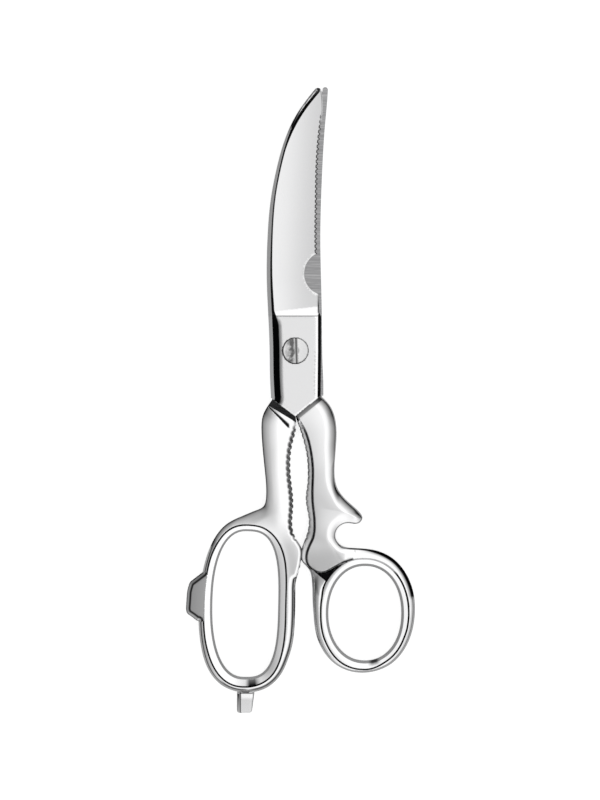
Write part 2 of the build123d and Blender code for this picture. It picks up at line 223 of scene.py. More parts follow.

# The spine's facet along a blade: its widths, and how dark its painted shade is
FACET_WIDTHS = ((8.5, 13, 22, 36, 52, 66, 77, 86), (1.9, 0.85, 0.7, 0.5, 0.42, 0.5, 0.95, 1.05))
FACET_SHADES = ((10, 30, 44, 62, 70, 76), (0.98, 0.97, 0.8, 0.8, 0.95, 0.98))

# The thumb pad by the distance below the pivot: its lean, its bend, and two reaches across
PAD_LEAN = ((39, 46, 52, 60, 67), (0.075, 0.07, 0.065, 0.11, 0.21))
PAD_BEND = ((30, 39, 52, 60, 67), (0.02, 0.03, 0.07, 0.05, 0.0))
PAD_REACH = ((30, 42, 50, 58, 67), (14.0, 14.0, 16.0, 11.0, 11.0))
PAD_BRIGHT = ((52, 58, 62, 64, 67.1, 69), (16.0, 11.0, 7.8, 7.0, 9.4, 10.8))


class ShearsSizes(bpy.types.PropertyGroup):
    grain: FloatProperty(
        name="Mesh grain", description="Spacing of the mesh on curved surfaces, in millimetres",
        default=0.42, min=0.2, max=2,
    )
    strip: FloatProperty(
        name="Side strip", description="Steep strip along the spines, in millimetres",
        default=1.15, min=0.2, max=2,
    )
    bead_level: FloatProperty(
        name="Bead level", description="Height of the beads round the holes over the middle",
        default=3.3, min=2, max=4,
    )
    groove_width: FloatProperty(
        name="Groove width", description="Width of the grooves round the bows, in millimetres",
        default=0.6, min=0.1, max=1.5,
    )
    groove_depth: FloatProperty(
        name="Groove depth", description="Depth of the grooves round the bows, in millimetres",
        default=0.32, min=0.05, max=1,
    )
    step_rise: FloatProperty(
        name="Step rise", description="Rise of the step beside the thumb pad, in millimetres",
        default=0.75, min=0.1, max=1,
    )
    slot_width: FloatProperty(
        name="Slot width", description="Width of the screw's slot in mm", default=1.2, min=0.5,
    )
    slot_depth: FloatProperty(
        name="Slot depth", description="Depth of the screw's slot in mm", default=0.8, min=0.1,
    )
    head_dish: FloatProperty(
        name="Head dish", description="Depth of the dish in the screw's head", default=0.3, min=0,
    )
    turns: IntProperty(
        name="Turned faces", description="Faces round a turned piece", default=128, min=32,
        max=256,
    )


class ShearsFinish(bpy.types.PropertyGroup):
    plating: FloatVectorProperty(
        name="Plating", description="Colour of the polished plating", subtype="COLOR",
        default=(0.97, 0.97, 0.975), min=0, max=1,
    )
    ground_steel: FloatVectorProperty(
        name="Ground steel", description="Colour of the ground inner faces", subtype="COLOR",
        default=(0.32, 0.32, 0.325), min=0, max=1,
    )
    # The colour of the painted shade in grooves, on dark facets and in the recess
    painted_shade_colour: FloatVectorProperty(
        name="Painted shade", description="Colour in the grooves", subtype="COLOR",
        default=(0.01, 0.01, 0.011), min=0, max=1,
    )
    turned_steel: FloatVectorProperty(
        name="Turned steel", description="Colour of the screw, washer and nut",
        subtype="COLOR", default=(0.86, 0.86, 0.86), min=0, max=1,
    )
    polish: FloatProperty(
        name="Polish", description="Roughness of the polished plating", subtype="FACTOR",
        default=0.07, min=0, max=1,
    )
    satin: FloatProperty(
        name="Satin", description="Roughness of the ground faces", subtype="FACTOR",
        default=0.3, min=0, max=1,
    )


class ShearsStage(bpy.types.PropertyGroup):
    floor: FloatVectorProperty(
        name="Floor", description="Colour of the floor", subtype="COLOR",
        default=(0.62, 0.62, 0.62), min=0, max=1,
    )
    lift: FloatProperty(
        name="Floor lift", description="White that the camera sees added to the floor",
        default=0.8, min=0, max=1,
    )
    distance: FloatProperty(
        name="Camera distance", description="Height of the camera over the floor",
        unit="LENGTH", default=2.5, min=0.5, max=10,
    )
    field: FloatProperty(
        name="Field", description="Height of the picture on the floor", unit="LENGTH",
        default=0.2624, min=0.05, max=2,
    )


def placed(shares, width, length):
    """Points of an outline from their shares of a width and a length."""
    return [(across * width, along * length) for across, along in shares]


def positive(value):
    """A value, or 0 where it is less."""
    return np.clip(value, 0, None)


def portion(value):
    """A value kept between 0 and 1."""
    return np.clip(value, 0, 1)


def most(first, *others):
    """The greatest of several values at each spot."""
    for other in others:
        first = np.maximum(first, other)
    return first


def stripe(value, middle, reach, full=1.0):
    """A mark that is full at the middle of a stripe and fades to its sides."""
    return portion(full - np.abs(value - middle) / reach)


def nearest(line, point):
    """Index of the point of a line that lies nearest to a place."""
    return int(np.argmin(np.hypot(*(line - np.asarray(point)).T)))


def closed_line(points):
    """A line that comes back to its first point."""
    return np.vstack([points, points[:1]])


def search_tree(points):
    """A tree that finds the nearest of the points of a plan."""
    tree = KDTree(len(points))
    for k, (x, y) in enumerate(points.tolist()):
        tree.insert((x, y, 0), k)
    tree.balance()
    return tree


def rim_point(hole, turn, wall=0.0):
    """A point on the rim of a hole at a turn in degrees, moved out square to it by a wall."""
    centre_x, centre_y, half_width, half_length, fullness, lean = hole
    part_x, part_y = cos(radians(turn)), sin(radians(turn))
    power = fullness[0] if part_x < 0 else fullness[1]
    x = half_width * copysign(abs(part_x) ** (2 / power), part_x)
    y = half_length * copysign(abs(part_y) ** (2 / power), part_y)
    slope_x = copysign(abs(x / half_width) ** (power - 1), x) / half_width
    slope_y = copysign(abs(y / half_length) ** (power - 1), y) / half_length
    x += wall * slope_x / hypot(slope_x, slope_y)
    y += wall * slope_y / hypot(slope_x, slope_y)
    tilt = radians(lean)
    return (centre_x + x * cos(tilt) - y * sin(tilt), centre_y + x * sin(tilt) + y * cos(tilt))


def rim_line(hole, step, wall=0.0):
    """The rim of a hole, moved out by a wall, with a point every few degrees."""
    return np.array([rim_point(hole, turn, wall) for turn in np.arange(0, 360, step)])


def bow_points(hole, wall, walls):
    """The outline of a bow round its hole."""
    return [rim_point(hole, turn, wall * share) for turn, share in walls]


def smooth_line(points, spacing=0.25):
    """A smooth line through the points, as many short runs."""
    knots = np.array(points, float)
    steps = np.hypot(*np.diff(knots, axis=0).T)
    count = len(knots)
    system = np.eye(count)
    pull = np.zeros((count, 2))
    for k in range(1, count - 1):
        system[k, k - 1:k + 2] = steps[k - 1], 2 * (steps[k - 1] + steps[k]), steps[k]
        turn = (knots[k + 1] - knots[k]) / steps[k] - (knots[k] - knots[k - 1]) / steps[k - 1]
        pull[k] = 6 * turn
    bends = np.linalg.solve(system, pull)
    runs = []
    for k in range(count - 1):
        share = np.linspace(0, 1, max(1, ceil(steps[k] / spacing)) + 1)[:-1, None]
        rest = 1 - share
        bend = (rest ** 3 - rest) * bends[k] + (share ** 3 - share) * bends[k + 1]
        runs.append(rest * knots[k] + share * knots[k + 1] + steps[k] ** 2 / 6 * bend)
    return np.concatenate(runs + [knots[-1:]])


def straight_line(points, spacing=0.3):
    """Straight runs between the points, divided evenly."""
    corners = np.array(points, float)
    runs = []
    for start, end in zip(corners[:-1], corners[1:]):
        count = max(1, ceil(hypot(*(end - start)) / spacing))
        share = np.linspace(0, 1, count + 1)[:-1, None]
        runs.append(start + share * (end - start))
    return np.concatenate(runs + [corners[-1:]])


def arc_line(start, middle, end, spacing=0.25):
    """The round arc through three points."""
    (ax, ay), (bx, by), (cx, cy) = start, middle, end
    twice = 2 * (ax * (by - cy) + bx * (cy - ay) + cx * (ay - by))
    squares = ax * ax + ay * ay, bx * bx + by * by, cx * cx + cy * cy
    x = (squares[0] * (by - cy) + squares[1] * (cy - ay) + squares[2] * (ay - by)) / twice
    y = (squares[0] * (cx - bx) + squares[1] * (ax - cx) + squares[2] * (bx - ax)) / twice
    first = atan2(ay - y, ax - x)
    sweep = (atan2(cy - y, cx - x) - first) % (2 * pi)
    if (atan2(by - y, bx - x) - first) % (2 * pi) > sweep:
        sweep -= 2 * pi
    radius = hypot(ax - x, ay - y)
    count = max(3, ceil(abs(sweep) * radius / spacing))
    turn = first + sweep * np.linspace(0, 1, count + 1)
    return np.stack([x + radius * np.cos(turn), y + radius * np.sin(turn)], axis=1)


def toothed(line, pitch, radius, bite, start=0.0, side=1):
    """A line with round notches cut into it, on the side that the piece lies on."""
    steps = np.hypot(*np.diff(line, axis=0).T)
    along = np.concatenate(([0], np.cumsum(steps)))
    length = along[-1]
    count = int(length * (1 - start) / pitch)
    fine = np.linspace(0, length, ceil(length / 0.1) + 1)
    x = np.interp(fine, along, line[:, 0])
    y = np.interp(fine, along, line[:, 1])
    centres = length * (start + (1 - start) * (np.arange(count) + 0.5) / count)
    off = np.min(np.abs(fine[:, None] - centres[None, :]), axis=1)
    cut = np.sqrt(positive(radius ** 2 - off ** 2)) - (radius - bite)
    cut = positive(cut)
    head_x, head_y = np.gradient(x), np.gradient(y)
    size = np.hypot(head_x, head_y)
    return np.stack([x - side * cut * head_y / size, y + side * cut * head_x / size], axis=1)


def joined(*runs):
    """One line from several runs, each starting where the last one ended."""
    line = [np.asarray(runs[0])]
    for run in runs[1:]:
        run = np.asarray(run)
        line.append(run[1:] if hypot(*(run[0] - line[-1][-1])) < 1e-3 else run)
    return np.concatenate(line)


def moved_line(line, inset, side=1):
    """A line moved sideways by an inset, which may differ along it."""
    heading = np.gradient(line, axis=0)
    heading /= np.maximum(np.hypot(*heading.T), 1e-9)[:, None]
    sideways = np.stack([-heading[:, 1], heading[:, 0]], axis=1) * side
    return line + sideways * np.broadcast_to(np.asarray(inset, float), (len(line),))[:, None]


class Trace:
    """A line on the plan that distances are measured from."""

    def __init__(self, points, closed=False):
        points = np.asarray(points, float)
        if closed:
            points = closed_line(points)
        keep = np.concatenate(([True], np.hypot(*np.diff(points, axis=0).T) > 1e-6))
        self.points = points[keep]
        self.closed = closed
        self.tree = search_tree(self.points)

    def signed(self, spots):
        """Distance of each spot from the line, positive on its left."""
        last = len(self.points) - 2
        near = np.array([self.tree.find((x, y, 0))[1] for x, y in spots.tolist()])
        best = np.full(len(spots), np.inf)
        signed = np.zeros(len(spots))
        for first in (near - 1, near):
            first = first % (last + 1) if self.closed else np.clip(first, 0, last)
            start, end = self.points[first], self.points[first + 1]
            run = end - start
            away = spots - start
            share = portion((away * run).sum(1) / (run * run).sum(1))
            off = away - share[:, None] * run
            size = np.hypot(*off.T)
            nearer = size < best
            best[nearer] = size[nearer]
            cross = run[:, 0] * off[:, 1] - run[:, 1] * off[:, 0]
            signed[nearer] = (np.where(cross < 0, -1, 1) * size)[nearer]
        return signed

    def off(self, spots):
        """Distance of each spot from the line, on either side."""
        return np.abs(self.signed(spots))


def inside(polygon, spots):
    """Whether each spot lies in a polygon."""
    x, y = spots[:, 0], spots[:, 1]
    found = np.zeros(len(spots), bool)
    ends = np.roll(polygon, -1, axis=0)
    for (ax, ay), (bx, by) in zip(polygon, ends):
        if ay == by:
            continue
        crosses = (ay > y) != (by > y)
        found ^= crosses & (x < ax + (y - ay) * (bx - ax) / (by - ay))
    return found


def ease(share):
    """A smooth step from 0 to 1."""
    share = portion(share)
    return share * share * (3 - 2 * share)


def softened(value, places, levels, spread=2.5):
    """A value read from a table by its place, with the table's corners rounded off."""
    spacing, reach = 0.25, 9
    fine = np.arange(places[0] - 15, places[-1] + 15, spacing)
    weights = np.exp(-0.5 * (np.arange(-reach, reach + 0.1, spacing) / spread) ** 2)
    rounded = np.convolve(np.interp(fine, places, levels), weights / weights.sum(), "valid")
    ends = int(reach / spacing)
    return np.interp(value, fine[ends:-ends], rounded)


def rounding(inset, reach, tilt):
    """How far a rounded rim has dropped at an inset from its outline."""
    radius = reach / np.sin(np.radians(tilt))
    short = np.clip(reach - inset, 0, reach)
    return radius - np.sqrt(radius ** 2 - short ** 2)


def softly_least(first, second, blend):
    """The lesser of two heights, rounded where they meet."""
    share = portion(0.5 + (second - first) / (2 * blend))
    return second * (1 - share) + first * share - blend * share * (1 - share)


def handle_places(spots, hole, lines):
    """Distances of each spot from a handle's lines, and its turn round the hole."""
    centre_x, centre_y, half_width, half_length = hole[:4]
    turn = np.degrees(np.arctan2(
        (spots[:, 1] - centre_y) / half_length, (spots[:, 0] - centre_x) / half_width
    )) % 360
    return (
        lines["outer"].off(spots), lines["jaw"].off(spots), -lines["hole"].signed(spots), turn,
        -lines["groove"].signed(spots),
    )


def by_turn(table, turn):
    """A value that changes smoothly round a hole, from a table by the turn."""
    turns = np.array([row[0] for row in table] + [360 + table[0][0]], float)
    values = np.array([row[1] for row in table] + [table[0][1]], float)
    place = np.clip(np.searchsorted(turns, turn, side="right") - 1, 0, len(turns) - 2)
    share = ease((turn - turns[place]) / (turns[place + 1] - turns[place]))
    return values[place] * (1 - share) + values[place + 1] * share


def groove_line(hole, table):
    """The line of a groove round a hole."""
    turns = np.arange(0, 360, 1.5)
    points = []
    for turn in turns:
        x, y = rim_point(hole, turn)
        squared = degrees(atan2((y - hole[1]) / hole[3], (x - hole[0]) / hole[2])) % 360
        points.append(rim_point(hole, turn, float(by_turn(table, np.array([squared]))[0])))
    return np.array(points)


def bead_height(from_rim, level, steep, slope, width):
    """Height over the middle of the bead round a hole, by the distance from its rim."""
    foot = level - 1.54 * steep - slope * (width - steep)
    return foot + 1.54 * np.minimum(from_rim, steep) + slope * positive(from_rim - steep)


def rim_shade(from_rim, turn, width):
    """How dark the rim of a hole is, most on its right side."""
    return portion((width - from_rim) / 0.1) * (0.2 + 0.15 * np.cos(np.radians(turn)).clip(0))


def stop_shade(y, jaw, reach):
    """How dark the corners beside a stop are."""
    return ease(2.6 - np.abs(y - STOP_MIDDLE)) * portion(1.4 - jaw / reach)


def crown_drop(inset, wide, share):
    """Drop of a shank's outer side: a long crown that steepens to its edge."""
    long = (0.0135 + 0.003 * wide) * positive(5.0 + 0.6 * wide - inset) ** 2
    return 0.6 * np.exp(-inset / 0.75) + long * share


def rim_drop(inset, strip, reach, tilt, steep=1.54):
    """Drop of a bow's outer side: a steep strip, then a rounded shoulder."""
    return steep * positive(strip - inset) + rounding(positive(inset - strip), reach, tilt)


def plate_height(spots, blade, spine, strip, flat, roll):
    """Height of the outer side of a blade and its block, its ramp, and the spine's facet."""
    x, y = spots.T
    fall = (SPINE_THICK - EDGE_THICK) / abs(blade[1] - blade[0])
    across = (x - blade[0]) * copysign(1, blade[1] - blade[0])
    # The blade's outer side, and the ramp that rises from it to the block
    side = INNER_FACE + SPINE_THICK - fall * across - TIP_FALL / BLADE_REACH * (y - BLOCK_TOP)
    side = side + 0.045 * np.clip(across, 0, 17) * (1 - ease((y - 12) / 14))
    ramp = TOP - 0.12 * np.clip(y - BLOCK_TOP + 0.5, 0, 0.5)
    ramp = ramp - RAMP_SLOPE * positive(y - BLOCK_TOP)
    face = np.where(y < BLOCK_TOP - 0.5, TOP, -softly_least(-ramp, -side, 0.22))
    # Inwards from the spine: a steep strip, the flat facet and a rounded border
    inset = spine.off(spots)
    drop = FACET_SLOPE * (flat + roll / 2)
    base = INNER_FACE + SPINE_LEAST
    steep = base + (face - drop - base) * portion(inset / strip)
    past = positive(inset - strip)
    rest = portion(1 - (past - flat) / roll)
    rolled = np.where(past < flat, drop - FACET_SLOPE * past, 0.4 * roll * rest ** 2)
    on_ramp = (y > BLOCK_TOP) & (ramp > side - 0.25)
    # Painted shade on the spine's facet, in place of its dark reflection
    facet = portion(past / 0.1) * portion((flat + 0.15 * roll - past) / 0.12 + 0.5)
    facet = facet * np.interp(y, *FACET_SHADES)
    return np.where(inset < strip, steep, face - rolled), on_ramp, inset, facet


def thumb_height(sizes, spots, lines):
    """Height over the middle of the thumb handle, and the painted shade on it."""
    x, y = spots.T
    out, jaw, from_rim, turn, past_groove = handle_places(spots, THUMB_HOLE, lines)
    step = lines["step"].signed(spots)
    # The pad leans away from its bright middle, and the ledge lies below it beside the step
    lean, bend = softened(-y, *PAD_LEAN), softened(-y, *PAD_BEND)
    reach = softened(-y, *PAD_REACH)
    bright = np.minimum(softened(-y, *PAD_BRIGHT, 1.0), reach)
    on_lobe = ease((-56 - y) / 9)
    across = step * (1 - on_lobe) + (x - 4.7) * on_lobe
    spare = reach - bright + 0.5 * (bright - across + np.sqrt((bright - across) ** 2 + 7))
    pad = MIDDLE - lean * spare - 3 * bend * np.exp(-positive(across) / 3)
    pad = pad - 0.0042 * positive(9.5 - out) ** 2 * (1 - on_lobe)
    rise = sizes.step_rise * (1 - ease((x - 12) / 5)) * (1 - 0.5 * on_lobe)
    ledge = pad - rise - 0.1 * np.clip(-step, 0, 4) * (1 - on_lobe)
    body = ledge + (pad - ledge) * portion(step / 0.8 + 0.5)
    # Near the bow both run into the level of the ring round the hole
    ring = sizes.bead_level + 0.25 * ease(past_groove / 0.4) + 0.08 * past_groove
    near_ring = ease((-59 - y) / 11) * (1 - ease((past_groove - 0.3) / 7))
    near_ring = near_ring * (1 - ease((turn - 100) / 18) * ease((y + 80.5) / 9))
    body = body * (1 - near_ring) + ring * near_ring
    # The outer rim, from the crown of the shank to the strip round the bow
    on_ring = ease((-61 - y) / 4)
    flank = ease((turn - 12) / 6) * ease((125 - turn) / 20)
    strip = (0.62 * (1 - flank) + (0.45 + 0.55 * ease((100 - turn) / 40)) * flank) * on_ring
    steep = 1.54 - 0.7 * flank
    wide = np.maximum(ease((y + 39) / 9), ease((x - 11.5) / 3) * ease((y + 55.5) / 3))
    shank = rounding(out, 3.1 + 0.7 * wide, 29.0 + 14 * wide) + 0.9 * positive(0.25 - out)
    at_root = ease((-68 - y) / 5)
    tilt = 33.0 - 8 * (np.cos(np.radians(turn)) < -0.2)
    bow = rim_drop(out, strip, 1.7, tilt, steep) * (1 - at_root)
    bow = bow + rim_drop(np.minimum(out, jaw), strip, 1.7, tilt, steep) * at_root
    body = body - shank * (1 - on_ring) - bow * on_ring
    body = body - rim_drop(jaw, 0.35, 0.5, 20.0) * (1 - at_root)
    # The bead inside the groove, and the hollow at the root of the bow
    bead = bead_height(from_rim, sizes.bead_level, 0.85, 0.04, 2.4)
    left_side = ease((-0.1 - np.cos(np.radians(turn))) / 0.5)
    bead = bead - 0.12 * left_side * positive(from_rim - 1.6) ** 2
    height = np.where(past_groove > 0, body, bead)
    groove = stripe(past_groove, 0, sizes.groove_width / 2)
    height = height - sizes.groove_depth * groove
    hollow = lines["hollow"].off(spots)
    depth = np.clip(hollow * 1.2, 0, 0.6) * inside(np.array(HOLLOW), spots) * (past_groove > -0.1)
    # Painted shade: the step, the bow's flank, and a patch on the bead, besides the groove, the
    # hollow, the rim and the stop corners
    wall = stripe(step, 0, 0.4, 1.35) * ease((-23 - y) / 4) * (past_groove > 0)
    faint = 1 - 0.7 * ease((turn - 42) / 8) * ease((128 - turn) / 8)
    black = flank * on_ring * portion((strip - out) / 0.15 + 0.5)
    patch = stripe(turn, 284, 7, 1.5) * portion(1.6 - from_rim / 1.3)
    return height - depth, most(
        portion(1.9 * groove) * faint,
        portion(depth / 0.15),
        black * (past_groove > 0.4),
        most(rim_shade(from_rim, turn, 0.85), 0.93 * patch) * (past_groove < 0),
        wall,
        0.95 * stop_shade(y, jaw, 0.3) * (step < 2),
    )


def finger_height(sizes, spots, lines):
    """Height over the middle of the finger handle, and the painted shade on it."""
    x, y = spots.T
    out, jaw, from_rim, turn, past_groove = handle_places(spots, FINGER_HOLE, lines)
    # The web leans outwards and runs into the level of the ring round the hole
    web = ease((-42 - y) / 12)
    crest = -6.0 - x
    lean = 0.065 * (crest + np.sqrt(crest ** 2 + 2.2))
    body = MIDDLE - web * softly_least(lean, 1.6, 0.6)
    ring = sizes.bead_level + 0.2 * ease(past_groove / 0.35) + 0.075 * past_groove
    near_ring = ease((-50 - y) / 14)
    level_off = ease((past_groove - 0.3) / 8)
    body = body * (1 - near_ring * (1 - level_off)) + ring * near_ring * (1 - level_off)
    # The outer rim, and the edge of the jaw with its teeth
    on_ring = ease((-60 - y) / 8)
    narrow = 0.6 * positive(0.55 - out) + rim_drop(out - 0.55, 0.35, 1.5, 27.0, 0.8)
    crown = crown_drop(out, ease((y + 42) / 12), 1 - 0.6 * ease((-42 - y) / 8))
    body = body - (1 - on_ring) * crown - on_ring * narrow
    teeth = ease((-24 - y) / 4) * ease((y + 62) / 4)
    plain = rim_drop(jaw, 0.35, 0.9, 25.0)
    bitten = rim_drop(jaw, 0.8, 0.8, 35.0, 1.2)
    body = body - plain * (1 - teeth) - bitten * teeth
    # The bead inside the groove, which leans inwards on its right side
    leaning = 0.15 + 0.85 * ease(np.cos(np.radians(turn)) + 0.4)
    bead = bead_height(from_rim, sizes.bead_level, 0.7, 0.1 * leaning, 2.7)
    bead = bead - 0.0125 * leaning * np.clip(2.7 - from_rim, 0, 2) ** 2
    height = np.where(past_groove > 0, body, bead)
    groove = stripe(past_groove, 0, sizes.groove_width / 2)
    height = height - sizes.groove_depth * groove
    # Painted shade: the teeth, a line round the bow, a patch on the bead and a second line,
    # besides the groove, the rim and the stop corners
    shade = teeth * portion(1.1 - jaw / 1.1) * 0.85
    line = 0.95 * on_ring * stripe(out, 0.92, 0.26, 1.35)
    line = line * ease((np.cos(np.radians(turn)) + 0.1) / 0.4)
    patch = stripe(turn, 281, 9, 1.5) * (0.78 + 0.09 * from_rim)
    tail = 0.4 * portion((turn - 250) / 30) * (turn < 284)
    patch = np.maximum(patch, tail) * portion((from_rim - 0.5) / 0.3)
    second = 0.95 * stripe(past_groove, 0.8, 0.2, 1.3)
    second = second * ease((turn - 230) / 12) * ease((279 - turn) / 12)
    return height, most(
        portion(1.9 * groove),
        most(rim_shade(from_rim, turn, 0.7), patch) * (past_groove < 0),
        most(shade, 0.9 * stop_shade(y, jaw, 0.5), line, second) * (past_groove > 0),
    )


def toothed_handle(line, jaw, bite, side):
    """The line of a handle with teeth along its jaw."""
    first, last = nearest(line, jaw[0]), nearest(line, jaw[-1])
    teeth = toothed(line[first:last + 1], *JAW_TEETH, bite, 0.0, side)
    return joined(line[:first], teeth, line[last + 1:])


def front_outline():
    """The runs of the front half's outline, clockwise from the tip of the V."""
    left = placed(FRONT_LEFT, HALF_BLOCK, VEE_DROP)
    right = placed(FRONT_RIGHT, HALF_BLOCK, VEE_DROP)
    spine = placed(FRONT_SPINE, BLADE_WIDTH, BLADE_REACH)
    tip = placed(FRONT_TIP, BLADE_WIDTH, BLADE_REACH)
    edge = placed(FRONT_EDGE, BLADE_WIDTH, BLADE_REACH)
    start = edge[-1]
    end = (start[0] + 0.6, start[1] - BONE_NOTCH[0] - 0.3)
    middle = (start[0] - BONE_NOTCH[1], start[1] - BONE_NOTCH[0] / 2)
    stops = [(STOP_ACROSS + STOP_GAP / 2, share * SHANK_REACH) for share in STOPS]
    jaw = placed(THUMB_INNER, SHANK_WIDTH, SHANK_REACH)
    handle = smooth_line([
        right[-1],
        *placed(THUMB_OUTER, SHANK_WIDTH, SHANK_REACH),
        *placed(HOOK, HOOK_REACH, SHANK_REACH),
        *bow_points(THUMB_HOLE, THUMB_WALL, THUMB_WALLS),
        *placed(THUMB_ROOT, SHANK_WIDTH, SHANK_REACH),
        *stops, *jaw, VEE,
    ])
    return {
        "vee": straight_line([VEE, left[0]]),
        "spine": smooth_line([*left, *spine], 0.3),
        "tip": arc_line(spine[-1], tip[0], tip[1], 0.15),
        "edge": toothed(smooth_line([tip[1], *edge]), *EDGE_TEETH, 0.5, 0.14, -1),
        "notch": arc_line(start, middle, end, 0.2),
        "side": straight_line(
            [end, (end[0], BLOCK_TOP + 1.4), (right[0][0], BLOCK_TOP), right[0], right[-1]]
        ),
        "handle": toothed_handle(handle, jaw, 0.175, -1),
        "shoulder": straight_line([right[-1], VEE]),
    }


def rear_outline():
    """The runs of the rear half's outline, from the tip of the V up the spine and round."""
    right = placed(REAR_RIGHT, HALF_BLOCK, VEE_DROP)
    left = placed(REAR_LEFT, HALF_BLOCK, VEE_DROP)
    spine = placed(REAR_SPINE, BLADE_WIDTH, BLADE_REACH)
    tip = placed(REAR_TIP, BLADE_WIDTH, BLADE_REACH)
    edge = placed(REAR_EDGE, BLADE_WIDTH, BLADE_REACH)
    stops = [(STOP_ACROSS - STOP_GAP / 2, share * SHANK_REACH) for share in STOPS]
    jaw = placed(FINGER_INNER, SHANK_WIDTH, SHANK_REACH)
    handle = smooth_line([
        left[-1],
        *placed(FINGER_OUTER, SHANK_WIDTH, SHANK_REACH),
        *bow_points(FINGER_HOLE, FINGER_WALL, FINGER_WALLS),
        *placed(FINGER_ROOT, SHANK_WIDTH, SHANK_REACH),
        *stops, *jaw, VEE,
    ])
    return {
        "vee": straight_line([VEE, right[0]]),
        "spine": smooth_line([*right, *spine], 0.3),
        "tip": arc_line(spine[-1], tip[0], tip[1], 0.15),
        "edge": smooth_line([tip[1], *edge, *left], 0.3),
        "handle": toothed_handle(handle, jaw, 0.35, 1),
        "shoulder": straight_line([left[-1], VEE]),
    }


def detour(line, path):
    """A line that leaves for a path where it first comes near its start, and comes back."""
    path = np.asarray(path)
    leave, rejoin = nearest(line, path[0]), nearest(line, path[-1])
    return np.concatenate([line[:leave], path, line[rejoin + 1:]])


def crossing(line, start, end):
    """The point where a run first crosses a line."""
    start, end = np.asarray(start, float), np.asarray(end, float)
    best = None
    for a, b in zip(line[:-1], line[1:]):
        run, other = end - start, b - a
        bottom = run[0] * other[1] - run[1] * other[0]
        if abs(bottom) < 1e-12:
            continue
        share = ((a - start)[0] * other[1] - (a - start)[1] * other[0]) / bottom
        along = ((a - start)[0] * run[1] - (a - start)[1] * run[0]) / bottom
        if 0 <= share <= 1 and 0 <= along <= 1 and (best is None or share < best):
            best = share
    return start + (end - start) * best


def scattered(loop, holes, spacing):
    """Points spread evenly over a plan."""
    low, high = loop.min(axis=0), loop.max(axis=0)
    grid = []
    rise = spacing * sin(pi / 3)
    for k in range(int((high[1] - low[1]) / rise) + 1):
        y = low[1] + k * rise
        start = low[0] + (spacing / 2 if k % 2 else 0)
        xs = np.arange(start, high[0], spacing)
        grid.append(np.stack([xs, np.full(len(xs), y)], axis=1))
    grid = np.concatenate(grid)
    grid = grid[inside(loop, grid)]
    for hole in holes:
        grid = grid[~inside(hole, grid)]
    return grid


def thinned(spots, taken, least):
    """The spots that keep a distance from those already taken."""
    tree = search_tree(taken)
    far = [tree.find((x, y, 0))[2] >= least for x, y in spots.tolist()]
    return spots[np.array(far, bool)]


def sides_of(faces):
    """The sides of triangles, each as its two points."""
    return np.concatenate([faces[:, [0, 1]], faces[:, [1, 2]], faces[:, [2, 0]]])


def plan_triangles(loop, holes, creases, loose):
    """Triangles over a plan between its outline, its holes and its crease lines."""
    points, edges = [], []
    for ring in [loop, *holes]:
        base = len(points)
        points.extend(ring.tolist())
        count = len(ring)
        edges.extend((base + k, base + (k + 1) % count) for k in range(count))
    for line in creases:
        base = len(points)
        points.extend(line.tolist())
        edges.extend((base + k, base + k + 1) for k in range(len(line) - 1))
    points.extend(loose.tolist())
    result = delaunay_2d_cdt([Vector(point) for point in points], edges, [], 1, 1e-6)
    spots = np.array([(v.x, v.y) for v in result[0]])
    faces = np.array([list(face) for face in result[2]])
    middles = spots[faces].mean(axis=1)
    keep = inside(loop, middles)
    for hole in holes:
        keep &= ~inside(hole, middles)
    faces = faces[keep]
    a, b, c = spots[faces[:, 0]], spots[faces[:, 1]], spots[faces[:, 2]]
    area = (b - a)[:, 0] * (c - a)[:, 1] - (b - a)[:, 1] * (c - a)[:, 0]
    faces[area < 0] = faces[area < 0][:, ::-1]
    used = np.unique(faces)
    back = np.full(len(spots), -1)
    back[used] = np.arange(len(used))
    return spots[used], back[faces]


def sharp_places(spots, faces, heights, least, bend):
    """Middles of the edges where a surface bends, so that the mesh can be made finer there."""
    solid = np.column_stack([spots, heights])
    a, b, c = solid[faces[:, 0]], solid[faces[:, 1]], solid[faces[:, 2]]
    normal = np.cross(b - a, c - a)
    normal /= np.maximum(np.linalg.norm(normal, axis=1), 1e-12)[:, None]
    sides = sides_of(faces)
    owner = np.tile(np.arange(len(faces)), 3)
    sides = np.sort(sides, axis=1)
    order = np.lexsort((sides[:, 1], sides[:, 0]))
    sides, owner = sides[order], owner[order]
    same = np.all(sides[1:] == sides[:-1], axis=1)
    first, second = owner[:-1][same], owner[1:][same]
    turn = np.degrees(np.arccos(np.clip((normal[first] * normal[second]).sum(1), -1, 1)))
    bent = np.unique(np.concatenate([first[turn > bend], second[turn > bend]]))
    sides = np.unique(np.sort(sides_of(faces[bent]), axis=1), axis=0)
    length = np.hypot(*(spots[sides[:, 0]] - spots[sides[:, 1]]).T)
    sides = sides[length > least]
    return (spots[sides[:, 0]] + spots[sides[:, 1]]) / 2


